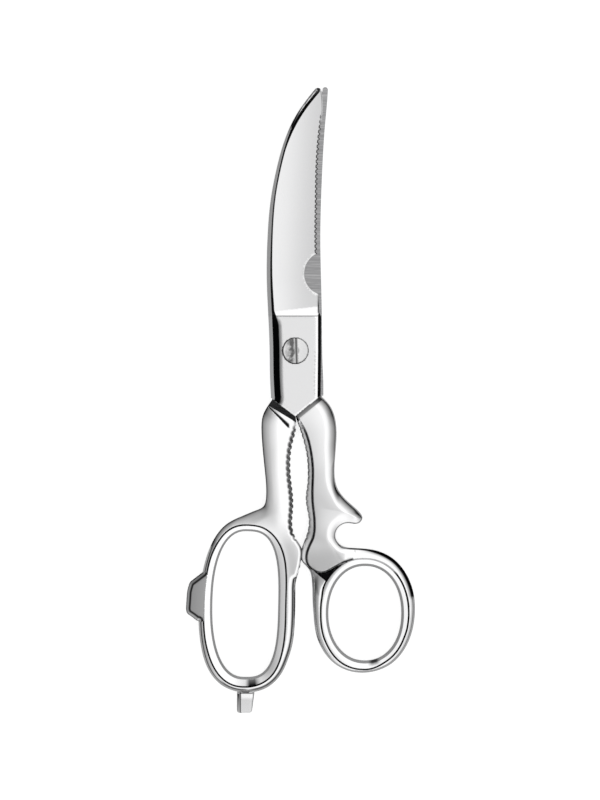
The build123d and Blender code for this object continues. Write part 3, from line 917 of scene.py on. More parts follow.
def shell(name, spots, faces, high, low, values):
    """A closed mesh between a high and a low surface over one plan, with its painted shade and
    finish stored.
    """
    count = len(spots)
    top = np.column_stack([spots, high]) * MM
    bottom = np.column_stack([spots, low]) * MM
    sides = sides_of(faces)
    _, index, counts = np.unique(
        np.sort(sides, axis=1), axis=0, return_index=True, return_counts=True
    )
    rim = sides[index[counts == 1]]
    a, b = rim[:, 0], rim[:, 1]
    ends = np.unique(rim)
    place = np.zeros(count, int)
    place[ends] = np.arange(len(ends))
    share = np.clip(0.06 * MM / (top[ends] - bottom[ends])[:, 2:], 0, 0.3)
    under = top[ends] + (bottom[ends] - top[ends]) * share
    over = bottom[ends] + (top[ends] - bottom[ends]) * share
    first, second = 2 * count + place, 2 * count + len(ends) + place
    mesh = bpy.data.meshes.new(name)
    polygons = faces.tolist() + (faces[:, ::-1] + count).tolist()
    levels = [(a, b), (first[a], first[b]), (second[a], second[b]), (a + count, b + count)]
    for (high_a, high_b), (low_a, low_b) in zip(levels[:-1], levels[1:]):
        polygons += np.stack([high_a, low_a, low_b, high_b], axis=1).tolist()
    mesh.from_pydata(np.concatenate([top, bottom, under, over]).tolist(), [], polygons)
    # The painted shade stands in for shadow and dark reflections in grooves, on facets and in
    # recesses
    for label in ("painted_shade", "ground", "inner"):
        upper, lower = values[label]
        limit = WALL_PAINTED_SHADE if label == "painted_shade" else 1.0
        sides = [np.minimum(upper[ends], limit), np.minimum(lower[ends], limit)]
        attribute = mesh.attributes.new(label, "FLOAT", "POINT")
        attribute.data.foreach_set("value", np.concatenate([upper, lower, *sides]))
    mesh.validate()
    mesh.update()
    piece = bpy.data.objects.new(name, mesh)
    bpy.context.scene.collection.objects.link(piece)
    return piece


def smoothed(piece, angle):
    """A piece shaded smooth, but for edges sharper than an angle in degrees."""
    bpy.ops.object.select_all(action="DESELECT")
    bpy.context.view_layer.objects.active = piece
    piece.select_set(True)
    bpy.ops.object.shade_smooth_by_angle(angle=radians(angle))
    piece.select_set(False)


def refined(sizes, loop, holes, creases, rows, heights):
    """Spots and triangles over a plan, finer where the surface bends."""
    fixed = np.concatenate([loop, *holes, *creases])
    rims = np.concatenate([moved_line(line, inset) for line, insets in rows for inset in insets])
    rims = rims[inside(loop, rims)]
    for hole in holes:
        rims = rims[~inside(hole, rims)]
    rims = thinned(rims, fixed, 0.14)
    grid = scattered(loop, holes, sizes.grain)
    grid = thinned(grid, np.concatenate([fixed, rims]), sizes.grain * 0.55)
    loose = np.concatenate([rims, grid])
    for least, bend in ((0.2, 7.0), (0.14, 9.0)):
        spots, faces = plan_triangles(loop, holes, creases, loose)
        extra = sharp_places(spots, faces, heights(spots), least, bend)
        extra = thinned(extra, np.concatenate([fixed, loose]), 0.07)
        room = max(MOST_SPOTS - len(spots), 1)
        extra = extra[:: ceil(len(extra) / room) or 1]
        loose = np.concatenate([loose, extra])
    return plan_triangles(loop, holes, creases, loose)


def circle_line(radius, count):
    """A round line about the pivot."""
    turn = np.linspace(0, 2 * pi, count, endpoint=False)
    return np.stack([radius * np.cos(turn), radius * np.sin(turn)], axis=1)


def beyond(spots, start, end):
    """How far each spot lies below the line through two points."""
    start, end = np.asarray(start, float), np.asarray(end, float)
    run = (end - start) / hypot(*(end - start))
    if run[0] < 0:
        run = -run
    return -(run[0] * (spots[:, 1] - start[1]) - run[1] * (spots[:, 0] - start[0]))


def shoulder_ends(corner):
    """Ends of the line where a crossing handle's shoulder clears the other half's block."""
    side = copysign(1, corner[0])
    run = VEE - corner
    run /= hypot(*run)
    down = np.array((-side * run[1], side * run[0]))
    return corner + down * SHOULDER_GAPS[0], VEE + down * SHOULDER_GAPS[1]


def along_groove(groove, sizes):
    """Crease lines at the middle and the rims of a groove."""
    line = closed_line(groove)
    half = sizes.groove_width / 2
    return [line, moved_line(line, half), moved_line(line, -half)]


def side_bands(y):
    """Widths of the flat facet and of the rounded one along a spine and its block."""
    return np.interp(y, *FACET_WIDTHS), 1.35 - 1.2 * ease((y - 9.5) / 2.5)


def neck_drop(below):
    """Drop of a handle below its block's edge, which it wins back along the shank."""
    return 0.74 * np.clip(below, 0, 1.3) - 0.9 * ease((below - 2) / 42)


def front_strip(sizes, y):
    """Width of the steep strip along the front blade's spine, which narrows to the tip."""
    return sizes.strip - 0.5 * ease((y - 30) / 50)


def handle_lines(handle, root, hole, groove):
    """The outer and the jaw side of a handle's line, and what distances are measured from."""
    parting = nearest(handle, root)
    outer_line, jaw_line = handle[:parting + 1], handle[parting:]
    return outer_line, jaw_line, {
        "outer": Trace(outer_line),
        "jaw": Trace(jaw_line),
        "hole": Trace(hole, closed=True),
        "groove": Trace(groove, closed=True),
    }


def shoulder_creases(outer, inner):
    """Crease lines where a handle's shoulder steps down beside the other half's block."""
    return [
        straight_line([outer, inner]),
        straight_line([outer + (0, -0.03), inner + (0, -0.03)]),
    ]


def forged(name, sizes, loop, holes, creases, rows, values, side):
    """One half as a closed mesh, made finer where its high or its low side bends."""
    creases = [part for line in creases for part in clipped(line, loop, holes[0])]
    spots, faces = refined(sizes, loop, holes, creases, rows, lambda found: values(found)[side])
    found = values(spots)
    high, low = found["high"], found["low"]
    if side == "low":
        high, low = TOP - low, TOP - high
    return shell(name, spots, faces, high, low, found)


def build_front(sizes):
    """The front half: the serrated blade, its block and the thumb handle."""
    runs = front_outline()
    loop = joined(
        runs["vee"], runs["spine"], runs["tip"], runs["edge"], runs["notch"], runs["side"],
        runs["handle"],
    )[:-1]
    hole = rim_line(THUMB_HOLE, 1.2)
    bore_radius, sink_radius, sink_depth = FRONT_PIVOT
    bore = circle_line(bore_radius, 64)
    sink = circle_line(sink_radius, 96) - SINK_SHIFT
    groove = groove_line(THUMB_HOLE, THUMB_GROOVE)
    step = smooth_line(PAD_STEP)
    corner = runs["shoulder"][0]
    outer, inner = shoulder_ends(corner)
    root = placed(THUMB_ROOT, SHANK_WIDTH, SHANK_REACH)[0]
    outer_line, jaw_line, lines = handle_lines(runs["handle"], root, hole, groove)
    lines["step"] = Trace(step)
    lines["hollow"] = Trace(straight_line(closed_line(HOLLOW), 0.2))
    spine = Trace(runs["spine"])
    right_x = FRONT_RIGHT[0][0] * HALF_BLOCK
    side_path = straight_line([corner, (right_x, 0.0), (right_x, BLOCK_TOP)])
    side_line, notch_line = Trace(side_path), Trace(runs["notch"])
    edge_line, end_line = Trace(runs["edge"]), Trace(runs["side"])

    def values(spots):
        x, y = spots.T
        flat, roll = side_bands(y)
        strip = front_strip(sizes, y)
        plate, on_ramp, inset, facet = plate_height(spots, FRONT_BLADE, spine, strip, flat, roll)
        # Bevels along the block's right side, its lower edges, the notch and the teeth
        right = side_line.off(spots)
        near_block = ease((BLOCK_TOP + 1.9 - y) / 0.5)
        band = 0.8 * positive(1.05 - right) + 0.03 * np.clip(2.0 - right, 0, 0.95)
        left_edge = -beyond(spots, FRONT_CORNER, VEE)
        below = beyond(spots, corner, VEE)
        above_edges = np.minimum(np.where(y < -10, left_edge, 9), np.where(below < 0, -below, 9))
        edge_gap = np.abs(above_edges)
        chamfer = 0.22 * positive(0.45 - edge_gap)
        side_strip = 0.16 + 0.1 * ease((y - 62) / 10) + 0.5 * ease((y - 70) / 6)
        side_strip = side_strip * portion((strip - inset) / 0.1)
        plate = plate - band * near_block - chamfer
        notch, teeth = notch_line.off(spots), edge_line.off(spots)
        plain_edge = np.minimum(teeth, end_line.off(spots))
        rim = 0.1 * positive(0.45 - notch) * ease((y - BLOCK_TOP - 2) / 1.5)
        plate = plate - rim - 0.8 * positive(0.32 - teeth)
        plate = np.maximum(plate, INNER_FACE + EDGE_LEAST)
        # The block's lower edge parts the blade from the handle, which reaches further down
        handle, dark = thumb_height(sizes, spots, lines)
        high = np.where(below > 0, MIDDLE + handle - neck_drop(below), plate)
        sunk = np.hypot(x + SINK_SHIFT, y + SINK_SHIFT) < sink_radius - 0.001
        high = np.where(sunk, TOP - sink_depth, high)
        past = beyond(spots, outer, inner)
        low = np.where(past > 0, MIDDLE - handle, INNER_FACE)
        # The ground flat of the blade and the block, with painted shade that darkens it towards
        # the blade's edge
        in_plate = below <= 0
        flat_face = in_plate & (inset > strip + flat + 0.5 * roll) & ~sunk & ~on_ramp
        flat_face &= (right > 2.0) | (y > BLOCK_TOP + 1.9)
        flat_face &= (edge_gap > 0.45) & (notch > 0.45)
        across = portion((x + 9.0 - 0.06 * y) / 13.5)
        face_shade = np.where(y > BLOCK_TOP + 0.5, 0.36 * ease(across), 0.16)
        face_shade = face_shade * (notch > 0.45) * flat_face
        # Painted shade and painted dark reflections: the block's top edge, the thin edges, the
        # neck, the facets and the strip along the spine
        top_edge_shade = 0.95 * stripe(y - BLOCK_TOP, 0.1, 0.22)
        top_edge_shade = top_edge_shade * (inset > strip + flat + 0.7 * roll) * (right > 1.2)
        thin_edge = (0.6 + 0.38 * ease((17.5 - y) / 3)) * portion(1.8 - plain_edge / 0.3)
        thin_edge = thin_edge * ease(19.5 - y) * ease((y - BLOCK_TOP - 0.2) / 0.5)
        bitten = 0.85 * portion(1.3 - teeth / 0.25)
        bitten = bitten * ease(y - 31.5) * ease((75 - y) / 2)
        notch_rim = 0.7 * portion(1.2 - notch / 0.15) * ease(y - 19)
        frame_line = 0.3 * stripe(right, 1.95, 0.15, 1.2) * (y < BLOCK_TOP - 0.4)
        neck = 0.55 * portion(1 - below / 1.9)
        right_band = portion((1.05 - right) / 0.1) * near_block
        above = most(
            facet, top_edge_shade, 0.95 * right_band, thin_edge, bitten, notch_rim,
            frame_line * (below < -0.5), 0.97 * sunk, side_strip * (y > BLOCK_TOP),
        )
        return {
            "high": high, "low": low,
            "painted_shade": (
                np.where(in_plate, above, np.maximum(dark * (below > 0.6), neck)),
                dark * (past > 0),
            ),
            "ground": (flat_face * 1.0, (past <= 0) * 1.0),
            "inner": (face_shade, (past <= 0) * 1.0),
        }

    # Square to the block's lower right edge, towards the handle
    down = np.array((0.617, -0.787))
    spine_middle = runs["spine"][2:-3]
    strip = front_strip(sizes, spine_middle[:, 1])
    flat, roll = side_bands(spine_middle[:, 1])
    creases = [
        *along_groove(groove, sizes), moved_line(step, 0.4), moved_line(step, -0.4),
        closed_line(rim_line(THUMB_HOLE, 1.2, 0.85)),
        straight_line(closed_line(HOLLOW), 0.25), closed_line(sink),
        closed_line(0.988 * (sink + SINK_SHIFT) - SINK_SHIFT),
        straight_line([corner - down * 0.45, VEE - down * 0.45]),
        *[moved_line(spine_middle, inset, -1) for inset in (
            strip, strip + flat, strip + flat + roll, strip + 0.1,
            strip + flat - 0.06, strip + flat + 0.15 * roll + 0.06,
        )],
        *[straight_line([(-7.5, BLOCK_TOP + up), (8.2, BLOCK_TOP + up)]) for up in (0, -0.5, 0.3)],
        straight_line([corner + down * 0.02 - (0.2, 0), VEE + down * 0.02 + (0.2, 0)]),
        straight_line([corner + down * 1.3, VEE + down * 1.3]),
        *shoulder_creases(outer, inner),
        *[moved_line(side_path, inset) for inset in (0.95, 1.05, 2.0)],
        moved_line(runs["notch"], 0.45, -1),
    ]
    rows = [
        (outer_line, (-0.3, -0.6, -0.95, -1.35, -1.8)), (jaw_line, (-0.35, -0.7)),
        (closed_line(hole), (-0.4, -1.2, -1.7)),
        (runs["edge"], (-0.16, -0.32, -0.5)), (runs["side"], (-0.16, -0.32, -0.5)),
        (runs["notch"], (-0.16, -0.3)),
    ]
    return forged(
        "front_half_forging", sizes, loop, [hole, bore], creases, rows, values, "high"
    )


def clipped(line, loop, hole):
    """The parts of a crease line that lie well inside the piece."""
    keep = inside(loop, line) & ~inside(hole, line)
    keep &= Trace(loop, closed=True).off(line) > 0.12
    parts, part = [], []
    for point, good in zip(line, keep):
        if good:
            part.append(point)
        else:
            if len(part) > 1:
                parts.append(np.array(part))
            part = []
    if len(part) > 1:
        parts.append(np.array(part))
    return parts


def build_rear(sizes):
    """The rear half: the plain blade, its block, the finger handle, the lifter and the tab."""
    runs = rear_outline()
    root = rim_point(FINGER_HOLE, 180, FINGER_WALL * 0.85)
    middle = FINGER_HOLE[1] * 0.97
    width, length = LIFTER_SIZE
    lug = [(root[0] - out * width, middle + along * length) for out, along in LIFTER]
    plain = runs["handle"]
    lug_start, lug_end = crossing(plain, lug[2], lug[1]), crossing(plain, lug[7], lug[8])
    lug_path = rounded_path([lug_start, *lug[2:8], lug_end], 0.8)
    foot = rim_point(FINGER_HOLE, 270, FINGER_WALL)[1]
    (left_x, right_x), tip_y = TAB_SIDES, foot - TAB_REACH
    tab_left = crossing(plain, (left_x + 0.1, tip_y), (left_x + 0.1, foot + 3))
    tab_right = crossing(plain, (right_x, tip_y), (TAB_FOOT, foot + 3))
    tab_path = rounded_path([tab_left, (left_x, tip_y), (right_x, tip_y), tab_right], 1.0)
    handle = detour(detour(plain, lug_path), tab_path)
    loop = joined(runs["vee"], runs["spine"], runs["tip"], runs["edge"], handle)[:-1]
    hole = rim_line(FINGER_HOLE, 1.0)
    bore_radius, sink_radius, sink_depth = REAR_PIVOT
    bore = circle_line(bore_radius, 64)
    sink = circle_line(sink_radius, 96)
    groove = groove_line(FINGER_HOLE, FINGER_GROOVE)
    start = placed(FINGER_ROOT, SHANK_WIDTH, SHANK_REACH)[0]
    outer_line, jaw_line, lines = handle_lines(plain, start, hole, groove)
    corner = runs["shoulder"][0]
    outer, inner = shoulder_ends(corner)
    lug_outer, tab_outer = Trace(lug_path), Trace(tab_path)
    lug_polygon = np.vstack([
        moved_line(lug_path, 0.4, -1), [(root[0] + 2.5, lug_end[1]), (root[0] + 2.5, lug_start[1])]
    ])
    tab_polygon = np.vstack([
        moved_line(tab_path, 0.4, -1), [(-13.0, foot + 1.5), (-19.3, foot + 1.5)]
    ])
    spine, edge_line = Trace(runs["spine"]), Trace(runs["edge"])

    def lug_height(spots, past_groove):
        rim = lug_outer.off(spots)
        face = sizes.bead_level - 0.3 * past_groove - 0.15 * positive(1.3 - rim)
        face = face - 0.6 * positive(0.25 - rim)
        # Painted shade: a dark line along the lug, and a grey on its face that grows away from the
        # groove
        line = stripe(rim, 1.25, 0.26, 2.0)
        face_shade = (0.06 + 0.3 * portion(past_groove / 6.5)) * (rim > 1.5)
        return np.maximum(face, 0.35), np.maximum(0.97 * line, face_shade)

    def tab_height(spots):
        x, y = spots.T
        rim = tab_outer.off(spots)
        thick = 1.8 - 1.2 * portion((foot + 1 - y) / 7.8)
        face = thick - 0.05 * positive(-14.6 - x) * thick
        left = positive(x + 19.1)
        side = positive(0.7 - left) + 0.5 * np.clip(1.15 - left, 0, 0.45)
        side = side + rim_drop(rim, 0.15, 0.8, 30.0) * (left > 1.3)
        face = face - side * thick / 2.2
        blend = 1.9 * positive(y - foot + 0.6) ** 1.5
        # Painted shade: a dark line along the left side, a grey rim, and a grey foot
        return np.maximum(face, 0.25) + blend, most(
            0.95 * stripe(left, 1.05, 0.3, 1.2),
            0.45 * portion(1.4 - rim / 0.25) * (y > tip_y + 0.6),
            0.3 * ease((foot - 1.4 - y) / 1.2) * (left > 1.25),
        )

    def values(spots):
        x, y = spots.T
        flat, roll = side_bands(y)
        plate, on_ramp, inset, facet = plate_height(
            spots, REAR_BLADE, spine, sizes.strip, flat, roll
        )
        side = edge_line.off(spots)
        band = np.where(y < BLOCK_TOP, 0.9 * positive(1.0 - side), 0)
        plate = np.maximum(plate - band, INNER_FACE + EDGE_LEAST)
        # The handle, with the lifter on its outer side and the tab at its foot
        level, dark = finger_height(sizes, spots, lines)
        past_groove = -lines["groove"].signed(spots)
        in_lug = inside(lug_polygon, spots) & (past_groove > -0.2)
        lug_level, lug_dark = lug_height(spots, past_groove)
        level = np.where(in_lug, lug_level, level)
        dark = np.where(in_lug, lug_dark, dark)
        in_tab = inside(tab_polygon, spots) & (past_groove > 0.3)
        tab_level, tab_dark = tab_height(spots)
        in_tab &= (tab_level < level) | (y < foot)
        level = np.where(in_tab, tab_level, level)
        dark = np.where(in_tab, tab_dark * (y < foot), dark)
        below = beyond(spots, corner, VEE)
        high = np.where(below > 0, MIDDLE + level - neck_drop(below), plate)
        sunk = np.hypot(x, y) < sink_radius - 0.001
        high = np.where(sunk, TOP - sink_depth, high)
        # The side towards the front half, with a trough beside the shoulder
        past = beyond(spots, outer, inner)
        along = portion((x - outer[0]) / (inner[0] - outer[0]))
        middle_line, gap = 0.22 + 2.4 * along, 0.3 + 1.05 * along
        trough = stripe(past, middle_line, gap / 2, 1.25)
        trough = trough * ease((0.87 - along) / 0.05)
        inner_level = level - 0.9 * (1 - ease(past / 42)) - 0.35 * trough
        low = np.where(past > 0, MIDDLE - inner_level, INNER_FACE)
        # Painted shadow with streaks in the recess beside the front block, and the ground flats
        streaks = 0.5 + 0.5 * np.sin(6.3 * (x + y) + 3 * np.sin(2.1 * (x - y)))
        recess = (0.9 + 0.08 * streaks) * (beyond(spots, FRONT_CORNER, VEE) > 0) * (x < 0.5)
        in_plate = below <= 0
        flat_face = in_plate & (inset > sizes.strip + flat + roll) & ~sunk & ~on_ramp
        # Painted shade in the trough and on the handle beside the front half, and the painted
        # shadow in the recess
        shade = np.where(past > 0, np.maximum(dark, portion(1.6 * trough)), recess)
        return {
            "high": high, "low": low,
            "painted_shade": (shade, np.where(in_plate, facet, dark)),
            "ground": ((past <= 0) * 1.0, flat_face * 1.0),
            "inner": ((past <= 0) * 1.0, flat_face * 0.2),
        }

    creases = [
        *along_groove(groove, sizes),
        closed_line(rim_line(FINGER_HOLE, 1.0, 0.7)),
        closed_line(sink),
        moved_line(runs["spine"][2:-3], sizes.strip),
        straight_line([(-7.5, BLOCK_TOP), (8.2, BLOCK_TOP)]),
        *shoulder_creases(outer, inner),
        *[moved_line(lug_path, inset) for inset in (0.8, 1.08, 1.42, 1.7)],
        *[straight_line([(x, tip_y + 0.4), (x, foot + 0.4)]) for x in (-18.4, -17.95)],
    ]
    rows = [
        (outer_line, (0.3, 0.6, 0.95, 1.35, 1.8, 2.4)), (jaw_line, (0.25, 0.5, 0.8, 1.2)),
        (closed_line(hole), (-0.35, -1.1, -1.6)),
        (lug_path, (0.3, 0.6, 1.3)), (tab_path, (0.2, 0.5)),
    ]
    return forged("rear_half_forging", sizes, loop, [hole, bore], creases, rows, values, "low")


def rounded_path(corners, radius, spacing=0.2):
    """Straight runs with round corners."""
    corners = [np.asarray(corner, float) for corner in corners]
    runs = [corners[0]]
    for before, corner, after in zip(corners[:-2], corners[1:-1], corners[2:]):
        back, ahead = before - corner, after - corner
        reach = min(radius, hypot(*back) / 2, hypot(*ahead) / 2)
        start = corner + back / hypot(*back) * reach
        end = corner + ahead / hypot(*ahead) * reach
        for share in np.linspace(0, 1, 6):
            runs.append(
                (1 - share) ** 2 * start + 2 * share * (1 - share) * corner + share ** 2 * end
            )
    runs.append(corners[-1])
    return straight_line(runs, spacing)


class Maths:
    """A number from a shader node, with Python's own signs for the Math nodes."""

    def __init__(self, tree, socket):
        self.tree = tree
        self.socket = socket

    def made(self, operation, *others):
        node = self.tree.nodes.new("ShaderNodeMath")
        node.operation = operation
        for slot, value in enumerate(others):
            if isinstance(value, Maths):
                self.tree.links.new(value.socket, node.inputs[slot])
            else:
                node.inputs[slot].default_value = value
        return Maths(self.tree, node.outputs[0])

    def __add__(self, other):
        return self.made("ADD", self, other)

    __radd__ = __add__

    def __sub__(self, other):
        return self.made("SUBTRACT", self, other)

    def __rsub__(self, other):
        return self.made("SUBTRACT", other, self)

    def __mul__(self, other):
        return self.made("MULTIPLY", self, other)

    __rmul__ = __mul__

    def __truediv__(self, other):
        return self.made("DIVIDE", self, other)

    def __pow__(self, other):
        return self.made("POWER", self, other)

    def __abs__(self):
        return self.made("ABSOLUTE", self)

    def least(self, other):
        return self.made("MINIMUM", self, other)

    def most(self, other):
        return self.made("MAXIMUM", self, other)


class Recipe:
    """A material or a world as nodes."""

    def __init__(self, tree):
        self.tree = tree
        tree.nodes.clear()

    def node(self, kind, settings=None, **values):
        made = self.tree.nodes.new(kind)
        for label, value in (settings or {}).items():
            if label == "stops":
                ramp = made.color_ramp
                while len(ramp.elements) > 1:
                    ramp.elements.remove(ramp.elements[-1])
                for k, (place, level) in enumerate(value):
                    stop = ramp.elements[0] if k == 0 else ramp.elements.new(place)
                    stop.position = place
                    stop.color = (level, level, level, 1)
            else:
                setattr(made, label, value)
        for label, value in values.items():
            socket = made.inputs[label.replace("_", " ")]
            if isinstance(value, Maths):
                self.tree.links.new(value.socket, socket)
            elif isinstance(value, bpy.types.NodeSocket):
                self.tree.links.new(value, socket)
            else:
                socket.default_value = value
        return made

    def number(self, node, output):
        return Maths(self.tree, node.outputs[output])

    def stored(self, label):
        """A value that is stored on the mesh."""
        return self.number(self.node("ShaderNodeAttribute", {"attribute_name": label}), 2)

    def colours(self, share, first, second):
        """A mix of two colours."""
        mixed = self.node("ShaderNodeMix", {"data_type": "RGBA"}, Factor=share)
        for socket, colour in ((mixed.inputs[6], first), (mixed.inputs[7], second)):
            if isinstance(colour, bpy.types.NodeSocket):
                self.tree.links.new(colour, socket)
            else:
                socket.default_value = (*colour, 1)
        return mixed.outputs[2]

    def steel(self, colour, roughness, bump):
        """A metal surface, joined to the output."""
        self.ended("Material", self.node(
            "ShaderNodeBsdfPrincipled", Base_Color=colour, Metallic=1.0, Roughness=roughness,
            Normal=bump.outputs[0],
        ))

    def for_camera(self, kind, others, camera):
        """One shader for the object's light and another for the camera, joined to the output."""
        path = self.node("ShaderNodeLightPath")
        mixed = self.node("ShaderNodeMixShader", Fac=path.outputs["Is Camera Ray"])
        self.tree.links.new(others.outputs[0], mixed.inputs[1])
        self.tree.links.new(camera.outputs[0], mixed.inputs[2])
        self.ended(kind, mixed)

    def ended(self, kind, shader):
        output = self.node("ShaderNodeOutput" + kind)
        self.tree.links.new(shader.outputs[0], output.inputs[0])


def new_material(label):
    """A new material and the recipe of its nodes."""
    material = bpy.data.materials.new(label)
    material.use_nodes = True
    return material, Recipe(material.node_tree)


def plated_material():
    """Polished plating, with ground faces, and painted shade in grooves and on dark facets, by the
    mesh's own values.
    """
    finish = bpy.context.scene.shears_finish
    material, recipe = new_material("plated_steel_polished")
    painted_shade, ground, inner = (recipe.stored(label) for label in ("painted_shade", "ground", "inner"))
    place = recipe.node("ShaderNodeTexCoord").outputs["Object"]
    lengthways = recipe.node("ShaderNodeMapping", Vector=place, Scale=(90, 4200, 600))
    lines = recipe.node(
        "ShaderNodeTexNoise", Vector=lengthways.outputs[0], Scale=1.0, Detail=3.0, Roughness=0.6
    )
    grain = recipe.number(lines, 0)
    cloudy = recipe.number(
        recipe.node("ShaderNodeTexNoise", Vector=place, Scale=160.0, Detail=4.0), 0
    )
    # The inner value mixes in ground steel: on the real ground faces, and as painted shade that
    # darkens the front blade towards its edge
    plating = recipe.colours(
        inner * (1 + (grain - 0.55) * inner * inner * 1.4), finish.plating, finish.ground_steel
    )
    rough = finish.polish + 0.02 * cloudy + ground * (finish.satin - finish.polish)
    rough = rough + painted_shade * 0.1
    bump = recipe.node(
        "ShaderNodeBump", Strength=0.25, Distance=0.00001, Height=grain * (ground * 0.4 + inner)
    )
    # Painted shade: the mesh's stored shade mixes the plating towards black
    recipe.steel(
        recipe.colours(painted_shade.least(1.0), plating, finish.painted_shade_colour), rough.least(1.0), bump
    )
    return material


def turned_material():
    """Turned steel, with fine rings about the pivot axis, and painted shade and highlight on the
    head.
    """
    finish = bpy.context.scene.shears_finish
    material, recipe = new_material("turned_steel_rings")
    place = recipe.node("ShaderNodeTexCoord").outputs["Object"]
    apart = recipe.node("ShaderNodeSeparateXYZ", Vector=place)
    x, y, z = (recipe.number(apart, k) for k in range(3))
    radius = (x * x + y * y) ** 0.5
    rings = recipe.node(
        "ShaderNodeTexNoise", {"noise_dimensions": "1D"}, W=radius * 9000, Scale=1.0,
        Detail=3.0,
    )
    grain = recipe.number(rings, 0)
    cloud = recipe.number(
        recipe.node("ShaderNodeTexNoise", Vector=place, Scale=620.0, Detail=4.0, Roughness=0.65), 0
    )
    # Painted shade and highlight on the head: a darker left part and middle, the slot's shaded
    # side and its highlighted side, a dark ring
    left = ((0.0001 - x) * 900).most(0.0).least(1.0) * (1.35 + x * 330).most(0.0).least(1.0)
    near = (1.2 - radius * 800).most(0.0).least(1.0)
    head_shade = (left * (cloud * 3.8 - 0.9)).most(0.0) + near * cloud * 0.8
    across = x + y * 0.03
    shade_line = 1.75 - abs(across - 0.00027) / 0.00028
    bright = (1 - abs(across - 0.00078) / 0.0003).most(0.0)
    ring = (radius * 9000 - 35).most(0.0).least(0.9) * (0.65 - (x - y * 0.4) * 90).most(0.0)
    on_head = ((z - 0.0072) * 5000).most(0.0).least(1.0)
    head_shade = (head_shade * (1 - bright)).most(shade_line).most(ring) * on_head
    shaded_steel = [0.12 * part for part in finish.turned_steel]
    colour = recipe.colours(head_shade.most(0.0).least(0.97), finish.turned_steel, shaded_steel)
    bump = recipe.node("ShaderNodeBump", Strength=0.2, Distance=0.00001, Height=grain)
    recipe.steel(recipe.colours(grain * 0.15, colour, (0.2, 0.2, 0.2)), 0.16 + 0.12 * grain, bump)
    return material


def material_named(label, make):
    """A material of the scene, made when it is first asked for."""
    return bpy.data.materials.get(label) or make()


def plated(piece):
    """A half shaded smooth and given its plating."""
    smoothed(piece, 28)
    piece.data.materials.append(material_named("plated_steel_polished", plated_material))
    return piece


class SHEARS_OT_front_half(bpy.types.Operator):
    """Make the front half with its thumb handle"""
    bl_idname = "shears.front_half"
    bl_label = "Front half"

    def execute(self, context):
        piece = plated(build_front(context.scene.shears_sizes))
        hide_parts("front_half")
        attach(piece, "front")
        return {"FINISHED"}


class SHEARS_OT_rear_half(bpy.types.Operator):
    """Make the rear half with its finger handle, lifter and tab"""
    bl_idname = "shears.rear_half"
    bl_label = "Rear half"

    def execute(self, context):
        piece = plated(build_rear(context.scene.shears_sizes))
        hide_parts("rear_half")
        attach(piece, "rear")
        return {"FINISHED"}


